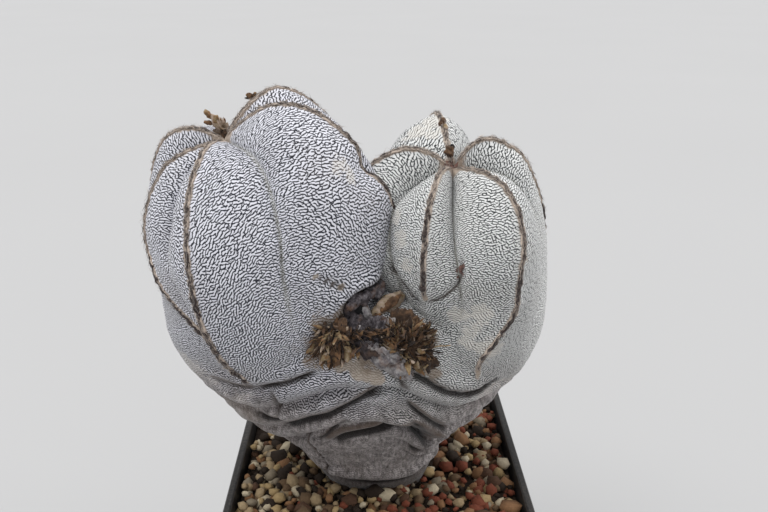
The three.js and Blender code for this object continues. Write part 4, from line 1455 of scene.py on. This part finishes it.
def lump(middle, along, half, crumple, seed):
    """A crumpled closed lump: an ellipsoid with its first half axis along a direction. Its skin is
    pushed in along sharp folds, crumple·(1.5 - 2·|coarse noise| - |fine noise|)."""
    first = unit(np.array(along, float))
    second = unit(np.cross([0.13, 0.97, 0.2], first))
    third = np.cross(first, second)
    polar = np.linspace(0.0, np.pi, LUMP_ROWS + 2)[1:-1][:, None]
    round_it = np.linspace(0.0, 2 * np.pi, LUMP_COLUMNS, endpoint=False)[None, :]
    reach = [
        -np.cos(polar) + 0.0 * round_it,
        np.sin(polar) * np.cos(round_it),
        np.sin(polar) * np.sin(round_it),
    ]
    shell = sum(r[..., None] * h * axis for r, h, axis in zip(reach, half, (first, second, third)))
    place = shell + np.array(middle)
    coarse, fine = unevenness(place, 2.4, seed, 3), unevenness(place, 1.1, seed + 1, 2)
    folds = 1.5 - 2.0 * np.abs(coarse) - np.abs(fine)
    rings = place + unit(shell) * (crumple * folds)[..., None]
    ends = np.array(middle) + np.outer([-half[0], half[0]], first)
    return np.concatenate([ends[:1], rings.reshape(-1, 3), ends[1:]]), ring_faces(LUMP_ROWS, LUMP_COLUMNS)


print("blade points:", len(petal(np.zeros(3), np.eye(3)[0], np.eye(3)[2], 5.0, 1.0, 0.0, 0.0)[0]))

# %% Scar tissue in the fork
# middle, direction, half axes, crumple, tone
SCAR_LUMPS = (
    ((-6.7, -31.2, 158.2), (0.3, -0.35, -1.0), (4.8, 3.2, 2.2), 1.5, 0.30),
    ((-3.2, -34.0, 155.4), (0.9, -0.2, -0.6), (4.6, 2.8, 2.2), 1.5, 0.26),
    ((0.8, -34.8, 152.9), (0.85, -0.05, -0.7), (5.0, 2.2, 1.9), 1.5, 0.68),
    ((4.9, -34.8, 149.0), (0.8, 0.0, -0.8), (4.6, 2.1, 1.8), 1.4, 0.72),
    ((-0.6, -32.2, 158.2), (0.3, -0.2, 1.0), (3.8, 2.6, 2.0), 1.4, 0.42),
    ((-5.2, -29.2, 166.5), (1.0, 0.95, 0.25), (4.2, 1.6, 1.6), 0.8, 0.40),
    ((-0.8, -24.2, 167.2), (0.7, 1.0, 0.15), (3.6, 1.6, 1.5), 0.8, 0.48),
    ((-8.7, -30.9, 163.0), (0.1, -0.2, 1.0), (3.2, 0.9, 1.2), 0.4, 0.28),
    ((-3.5, -28.7, 162.0), (-0.25, -0.2, 1.0), (3.6, 1.3, 1.4), 0.5, 0.74),
    # the old hole: a smooth lump painted black, painted shade inside the hole
    ((-6.0, -28.9, 162.6), (0.0, -0.2, 1.0), (3.8, 2.4, 1.6), 0.2, 0.0),
    ((-10.0, -33.3, 160.8), (0.3, -0.2, 1.0), (1.3, 0.9, 0.8), 0.4, 0.95),
    ((-5.6, -33.4, 160.2), (1.0, -0.2, 0.3), (1.2, 0.9, 0.8), 0.4, 0.98),
    ((2.0, -31.6, 160.4), (1.0, 0.4, 0.3), (2.4, 1.2, 1.0), 0.6, 0.90),
)
# the woody orange split beside the hole
WOOD_LUMPS = (
    ((2.6, -24.0, 162.4), (1.0, 0.75, 0.45), (5.8, 2.3, 1.6), 0.8, 0.90),
    ((3.4, -24.9, 163.5), (1.0, 0.75, 0.50), (3.8, 0.8, 1.0), 0.6, 0.50),
    ((0.4, -26.6, 161.4), (1.0, 0.6, 0.6), (2.6, 0.8, 0.9), 0.5, 0.54),
    ((-0.6, -28.2, 158.9), (0.2, -0.3, 1.0), (2.2, 1.0, 0.9), 0.6, 0.85),
)
# dried knobs on the rear seam of the right head
SEAM_KNOBS = (
    ((19.5, 3.6, 208.7), (0.0, 0.9, 0.45), (1.2, 0.9, 0.8), 0.4, 0.40),
    ((20.3, 1.8, 207.6), (0.0, 0.9, 0.45), (0.8, 0.5, 0.5), 0.3, 0.85),
    ((20.9, -5.5, 202.2), (0.1, 0.8, 0.6), (1.9, 0.9, 0.8), 0.7, 0.42),
    ((21.6, -5.0, 202.9), (0.1, 0.5, 0.8), (0.9, 0.6, 0.6), 0.3, 0.02),
)


def dressed_lumps(name, lumps, material, seed):
    """a group of lumps as one piece"""
    parts = [lump(*shape[:4], seed + i) for i, shape in enumerate(lumps)]
    piece = joined(name, parts, material, [shape[4] for shape in lumps])
    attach(piece, "root")
    print(name, len(piece.data.polygons), "faces")


dressed_lumps("fork_scar", SCAR_LUMPS, scar, 400)
dressed_lumps("woody_split", WOOD_LUMPS, petals, 430)
dressed_lumps("seam_knobs", SEAM_KNOBS, petals, 460)

# %% Tufts
# name, middle, spread, flow, outward, lengths, width, blades, fibres, tone, seed
TUFTS = (
    ("centre_left", (-13.0, -35.3, 156.6), (5.2, 1.4, 5.6), (-0.3, -0.3, -0.9), (-0.2, -1.0, 0.1),
     (2.2, 5.4), 0.62, 170, 520, 0.52, 21),
    ("centre_right", (7.9, -33.3, 154.8), (7.4, 1.9, 6.8), (0.35, -0.4, 0.5), (0.2, -1.0, 0.1),
     (2.2, 6.4), 0.62, 260, 700, 0.55, 22),
    ("left_crown", (-44.2, -3.2, 208.8), (2.0, 1.0, 2.4), (-0.6, -0.2, 0.8), (-0.2, -0.5, 0.8),
     (1.0, 2.4), 0.28, 60, 260, 1.0, 23),
    ("back_rib", (-36.8, 8.3, 215.6), (1.3, 1.0, 0.8), (-0.3, -0.4, 0.7), (-0.1, -0.4, 0.9),
     (0.8, 1.8), 0.4, 14, 16, 0.45, 24),
    ("fork", (-2.4, -35.0, 157.0), (6.4, 1.3, 4.2), (0.9, -0.2, -0.5), (0.0, -1.0, 0.2),
     (1.6, 4.2), 0.42, 120, 480, 0.42, 25),
)
# middle, direction, half axes, crumple, tone
CORES = {
    "centre_left": (
        ((-12.8, -33.4, 156.6), (-0.3, -0.3, -1.0), (6.2, 4.2, 1.8), 1.3, 0.30),
        ((-11.0, -33.6, 159.4), (0.5, -0.2, 1.0), (3.2, 1.8, 1.5), 1.1, 0.42),
        ((-14.6, -34.6, 153.2), (1.0, 0.0, -0.2), (3.6, 1.5, 1.2), 1.0, 0.26),
    ),
    "centre_right": (
        ((7.6, -31.0, 156.0), (0.3, -0.3, -1.0), (7.0, 4.6, 2.2), 1.5, 0.32),
        ((12.0, -33.0, 149.8), (0.9, -0.1, -0.5), (4.2, 2.0, 1.5), 1.4, 0.22),
        ((9.4, -30.4, 159.4), (0.1, -0.2, 1.0), (2.6, 1.2, 0.9), 1.0, 0.36),
        ((3.8, -32.4, 157.2), (0.6, -0.2, -0.6), (3.4, 1.7, 1.3), 1.0, 0.55),
    ),
    "left_crown": (
        ((-43.6, -3.0, 208.5), (-0.6, -0.1, 0.8), (4.2, 1.3, 1.1), 0.8, 0.98),
        ((-47.5, -3.6, 213.0), (-0.5, -0.2, 0.9), (0.9, 0.6, 0.6), 0.5, 0.74),
        ((-47.6, -3.6, 210.2), (-1.0, -0.3, 0.3), (0.9, 0.6, 0.6), 0.5, 0.52),
        ((-45.0, -4.0, 211.2), (-0.3, -0.2, 1.0), (0.9, 0.6, 0.6), 0.5, 0.66),
        ((-46.3, -3.4, 211.4), (-1.0, -0.2, 0.4), (1.6, 0.4, 0.4), 0.2, 0.70),
        ((-42.9, -4.2, 207.0), (-0.2, -0.4, 1.0), (1.1, 0.8, 0.8), 0.4, 0.40),
    ),
    "back_rib": (
        ((-36.9, 8.2, 215.4), (-0.6, -0.2, 0.5), (1.2, 0.7, 0.6), 0.4, 0.60),
        ((-35.9, 8.2, 216.2), (0.7, -0.2, 0.7), (0.8, 0.5, 0.5), 0.3, 0.62),
    ),
    "fork": (),
}


def tuft(name, middle, spread, flow, outward, lengths, width, blades, fibres, tone, seed):
    """Blades and fibres round a core, all crushed by one wrinkle field. Their roots fill an
    ellipsoid, each way is the flow plus a share of the place in it, and a few blades are broad."""
    rng = np.random.default_rng(seed)
    flow, outward = unit(np.array(flow)), unit(np.array(outward))
    parts, tones = [], []
    for count, is_blade in ((blades, True), (fibres, False)):
        for number in range(count):
            broad = is_blade and number < BROAD_PETALS and count > 2 * BROAD_PETALS
            place = rng.uniform(-1.0, 1.0, 3)
            place /= max(1.0, np.linalg.norm(place))
            way = unit(flow + place * 0.9 + rng.normal(0.0, 0.5, 3))
            root = np.array(middle) + place * np.array(spread)
            length = rng.uniform(*lengths)
            if is_blade:
                face = unit(outward + rng.normal(0.0, 0.55, 3))
                bend, curl = rng.uniform(-0.5, 0.3), rng.uniform(-0.7, 0.9)
                half = width * (rng.uniform(1.5, 2.3) if broad else rng.uniform(0.4, 1.25))
                root = root + outward * spread[1] * 0.7 if broad else root
                parts.append(petal(root - way * length * 0.4, way, face, length, half, bend, curl))
            else:
                parts.append(bristle(root, way, length * rng.uniform(0.3, 0.8), 0.08))
            shade = tone + rng.choice((-0.38, -0.1, 0.12, 0.4), p=(0.36, 0.26, 0.24, 0.14))
            shade = tone + 0.14 if broad else shade
            tones.append(np.clip(shade + rng.uniform(-0.08, 0.08), 0.0, 1.0))
    parts = [(wrinkled(points, 1.5, 0.3 * width + 0.22, seed), faces) for points, faces in parts]
    for i, shape in enumerate(CORES[name]):
        parts.append(lump(*shape[:4], seed * 10 + i))
        tones.append(shape[4])
    piece = joined(f"dried_flowers_{name}", parts, petals, tones)
    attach(piece, "root")
    if CORES[name]:
        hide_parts(f"flower_remains_{name}")
    print(piece.name, len(piece.data.polygons), "faces")


for measured in TUFTS:
    tuft(*measured)

# %% [markdown]
# ## Grit
# The mix is crushed stone of three to five millimetres in tan, cream, grey, brown and brick red.
# A stone is a globe of twenty faces cut flat by eight random planes, which gives the chipped
# look, and each keeps one colour number. Two jittered layers of them, small and large mixed, lie
# on a dark bed that fills the pot.

# %% Stone material


def chipped_stone():
    """stones in the colours of the mix, picked by the attribute tone, with fine speckle"""
    bench = Bench("chipped_stone", Roughness=0.85, Specular_IOR_Level=0.3)
    place = bench.place()
    tone = bench.attribute("tone")
    stops = (
        (0.0, rgb(0.030, 0.019, 0.012)),
        (0.19, rgb(0.15, 0.095, 0.052)),
        (0.31, rgb(0.40, 0.30, 0.175)),
        (0.44, rgb(0.60, 0.52, 0.37)),
        (0.54, rgb(0.27, 0.225, 0.16)),
        (0.64, rgb(0.29, 0.155, 0.075)),
        (0.73, rgb(0.21, 0.060, 0.032)),
        (0.82, rgb(0.10, 0.052, 0.030)),
        (0.90, rgb(0.44, 0.32, 0.16)),
    )
    colour = bench.ramp(tone, stops, stepped=True)
    specks = bench.noise(place, 0.0011, 4.0, 0.7)
    shade = bench.mix(specks, rgb(0.45, 0.42, 0.40), rgb(1.25, 1.25, 1.25))
    colour = bench.mix(0.9, colour, shade, "MULTIPLY")
    return bench.set(Base_Color=colour, Normal=bench.bump(specks, 0.0004, 0.8))


stone = chipped_stone()
print("stone nodes:", len(stone.node_tree.nodes))

# %% Pot measures
POT_TOP_HALF = 50.0
POT_BASE_HALF = 37.0
POT_HEIGHT = 90.0
POT_WALL = 1.6
RIM_STEP = 0.9
SEAT_GAP = 0.3
GRIT_LEVEL = 86.0
BED_LEVELS = (2.3, 40.0, 82.0, 84.4)
BED_TOP = 84.6


def pot_half(z):
    """half the pot's width at a height, growing evenly from the base to below the rim"""
    return POT_BASE_HALF + (POT_TOP_HALF - RIM_STEP - POT_BASE_HALF) * z / POT_HEIGHT


def pot_corner(z):
    """the radius of the pot's corners at a height"""
    return 6.0 + z / POT_HEIGHT


def turned(x, y, c, s):
    """two coordinates turned by an angle whose cosine is c and whose sine is s"""
    return x * c - y * s, x * s + y * c


def quarter_turned(places, turns):
    """places (x, y, and anything after) turned about the middle by whole quarter turns"""
    c, s = ((1, 0), (0, 1), (-1, 0), (0, -1))[turns]
    flat = np.stack(turned(places[:, 0], places[:, 1], c, s), axis=1)
    return np.concatenate([flat, places[:, 2:]], axis=1)


def square_ring(half, corner, z, corner_points=8, side_points=14):
    """a square with round corners as a ring of points, anticlockwise seen from above"""
    quarter = np.linspace(0.0, np.pi / 2, corner_points)
    edge = np.linspace(1.0, 0.0, side_points + 2)[1:-1] * 2 - 1.0
    inner = half - corner
    arc = np.stack([inner + corner * np.cos(quarter), inner + corner * np.sin(quarter)], axis=1)
    side = np.stack([edge * inner, np.full(side_points, half)], axis=1)
    one = np.concatenate([arc, side])
    flat = np.concatenate([quarter_turned(one, turns) for turns in range(4)])
    return np.concatenate([flat, np.full((len(flat), 1), z)], axis=1)


print("pot half width at the grit:", round(pot_half(GRIT_LEVEL), 1))

# %% Grit bed and stones
STONE_PITCH = 3.5
STONE_LIFTS = (-1.6, 0.1)
STONE_CUTS = 8


def grit_bed():
    """a closed plug that fills the pot, with a lumpy dark top just under the stones"""
    def inner(z, shrink=0.0):
        half = pot_half(z) - POT_WALL - SEAT_GAP - shrink
        return square_ring(half, max(pot_corner(z) - POT_WALL - SEAT_GAP - 0.5 * shrink, 0.5), z)

    reach = pot_half(BED_TOP) - 3.0
    rings = [inner(z) for z in BED_LEVELS]
    rings += [inner(BED_TOP, share * reach) for share in np.linspace(0.04, 0.96, 26)]
    rings = np.stack(rings)
    top = rings[len(BED_LEVELS) :]
    top[..., 2] += 0.9 * unevenness(top, 3.0, 11)
    piece = ring_body("grit_bed", rings, (0, 0, BED_LEVELS[0]), (0, 0, BED_TOP), stone, smooth=False)
    give_attribute(piece, "tone", np.full(len(piece.data.vertices), 0.05))
    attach(piece, "root")
    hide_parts("grit")


def globe(detail):
    """an icosphere of radius 1 as arrays of vertices and faces"""
    ball = bmesh.new()
    bmesh.ops.create_icosphere(ball, subdivisions=detail, radius=1.0)
    vertices = np.array([v.co[:] for v in ball.verts])
    faces = np.array([[v.index for v in f.verts] for f in ball.faces])
    ball.free()
    return vertices, faces


def stone_places(rng):
    """Places and radii of the stones: a jittered triangular net in two layers, and a row along each
    wall. The radii are drawn from a lognormal curve and kept between 1.0 and 3.8 millimetres."""
    room = pot_half(GRIT_LEVEL) - POT_WALL - 0.6
    places = []
    for layer, lift in enumerate(STONE_LIFTS):
        rows = np.arange(-room, room, STONE_PITCH * 0.866)
        for j, y in enumerate(rows):
            x = np.arange(-room, room, STONE_PITCH) + (j % 2) * STONE_PITCH / 2 + layer * STONE_PITCH * 0.4
            y = np.full(len(x), y + layer * STONE_PITCH * 0.3)
            places.append(np.stack([x, y, np.full(len(x), lift)], axis=1))
    along = np.arange(-room + 2.0, room - 1.0, 3.1)
    beside = np.stack([along, np.full(len(along), room - 1.0), np.full(len(along), 1.2)], axis=1)
    places += [quarter_turned(beside, turns) for turns in range(4)]
    places = np.concatenate(places)
    places[:, :2] += rng.uniform(-1.1, 1.1, (len(places), 2))
    places[:, 2] += rng.uniform(-0.5, 0.7, len(places))
    radius = np.clip(rng.lognormal(0.66, 0.36, len(places)), 1.0, 3.8)
    bound = room - radius * 0.62
    inside = (np.abs(places[:, 0]) < bound) & (np.abs(places[:, 1]) < bound)
    return places[inside], radius[inside]


def stones():
    """every stone is the same globe, cut by eight planes, squashed, turned and put in place"""
    rng = np.random.default_rng(3)
    places, radius = stone_places(rng)
    ball, faces = globe(1)
    count = len(places)
    points = np.broadcast_to(ball, (count, *ball.shape)).copy()
    normals = unit(rng.normal(size=(count, STONE_CUTS, 3)))
    depth = rng.uniform(0.42, 0.88, (count, STONE_CUTS))
    for k in range(STONE_CUTS):
        along = np.einsum("nvk,nk->nv", points, normals[:, k])
        over = np.maximum(along - depth[:, k, None], 0.0)
        points -= over[..., None] * normals[:, None, k]
    points *= rng.uniform((0.85, 0.75, 0.6), (1.15, 1.05, 0.9), (count, 3))[:, None, :]
    turn = rng.uniform(0, 2 * np.pi, (count, 1))
    tilt = rng.uniform(-0.6, 0.6, (count, 1))
    y, z = turned(points[..., 1], points[..., 2], np.cos(tilt), np.sin(tilt))
    x, y = turned(points[..., 0], y, np.cos(turn), np.sin(turn))
    points = np.stack([x, y, z], axis=-1) * (radius * 1.15)[:, None, None]
    points += places[:, None, :] + np.array([0.0, 0.0, GRIT_LEVEL])
    index = (faces[None] + len(ball) * np.arange(count)[:, None, None]).reshape(-1, 3)
    piece = mesh_object("grit_stones", points.reshape(-1, 3), index.tolist(), stone)
    tone = rng.uniform(0.0, 1.0, count)
    redder = (rng.uniform(0.0, 1.0, count) < 0.22) & (places[:, 0] > 8.0)
    tone[redder] = rng.uniform(0.72, 0.82, redder.sum())
    give_attribute(piece, "tone", np.repeat(tone, len(ball)))
    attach(piece, "root")
    print("stones:", count, "highest (mm):", round(float(points[..., 2].max()), 2))


grit_bed()
stones()

# %% [markdown]
# ## Pot
# A thin, slightly flexible square nursery pot of black plastic. It could be made again as a
# profile carried round a square, but its wall, its flat rim and the small step under it are plain
# forms that the imported solid already has. So the solid stays as it is and gets its finish here.
# Years of watering left dust on the walls. The rim's top is paler, partly a bloom of dust and partly a
# painted highlight.

# %% Pot material


def black_plastic():
    """black plastic with clouds of dust on the walls, a paler rim top that is partly dust and partly
    painted highlight, and fine grain
    """
    bench = Bench("black_plastic", Coat_Weight=0.0, Specular_IOR_Level=0.45)
    place = bench.place()
    height = bench.part(place, "Z")
    clouds = bench.noise(place, 0.02, 5.0, 0.6)
    grains = bench.noise(place, 0.0009, 3.0, 0.6)
    # the top of the rim is paler: partly dust, partly a painted highlight
    rim = height.rise(0.0875, 0.0898)
    dust_and_rim_highlight = (rim * 0.20 + clouds.rise(0.45, 0.8) * 0.30) * grains.rise(0.3, 0.7)
    colour = bench.mix(dust_and_rim_highlight, rgb(0.012, 0.012, 0.013), rgb(0.20, 0.175, 0.145))
    rough = 0.38 + dust_and_rim_highlight * 0.45 + grains * 0.08
    relief = grains * 0.6 + clouds * 0.4
    return bench.set(Base_Color=colour, Roughness=rough, Normal=bench.bump(relief, 0.00012, 0.6))


plastic = black_plastic()
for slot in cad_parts["plastic_pot"].material_slots:
    slot.material = plastic
print("pot nodes:", len(plastic.node_tree.nodes))

# %% [markdown]
# ## Floor
# The pot stands on a plain pale floor that reaches far enough back to fill the picture. One
# large square is enough for it, and it is no piece of the plant.

# %% Floor


def pale_floor():
    """a dull pale grey with very faint clouds"""
    bench = Bench("pale_floor", Roughness=0.8)
    clouds = bench.noise(bench.place(), 0.5, 2.0)
    colour = bench.mix(clouds, rgb(0.49, 0.49, 0.49), rgb(0.51, 0.51, 0.51))
    return bench.set(Base_Color=colour)


corners = np.array([[-9, -6, 0], [9, -6, 0], [9, 16, 0], [-9, 16, 0]]) * 1000.0
floor = mesh_object("studio_floor", corners, [[0, 1, 2, 3]], pale_floor(), smooth=False)
print("floor laid")
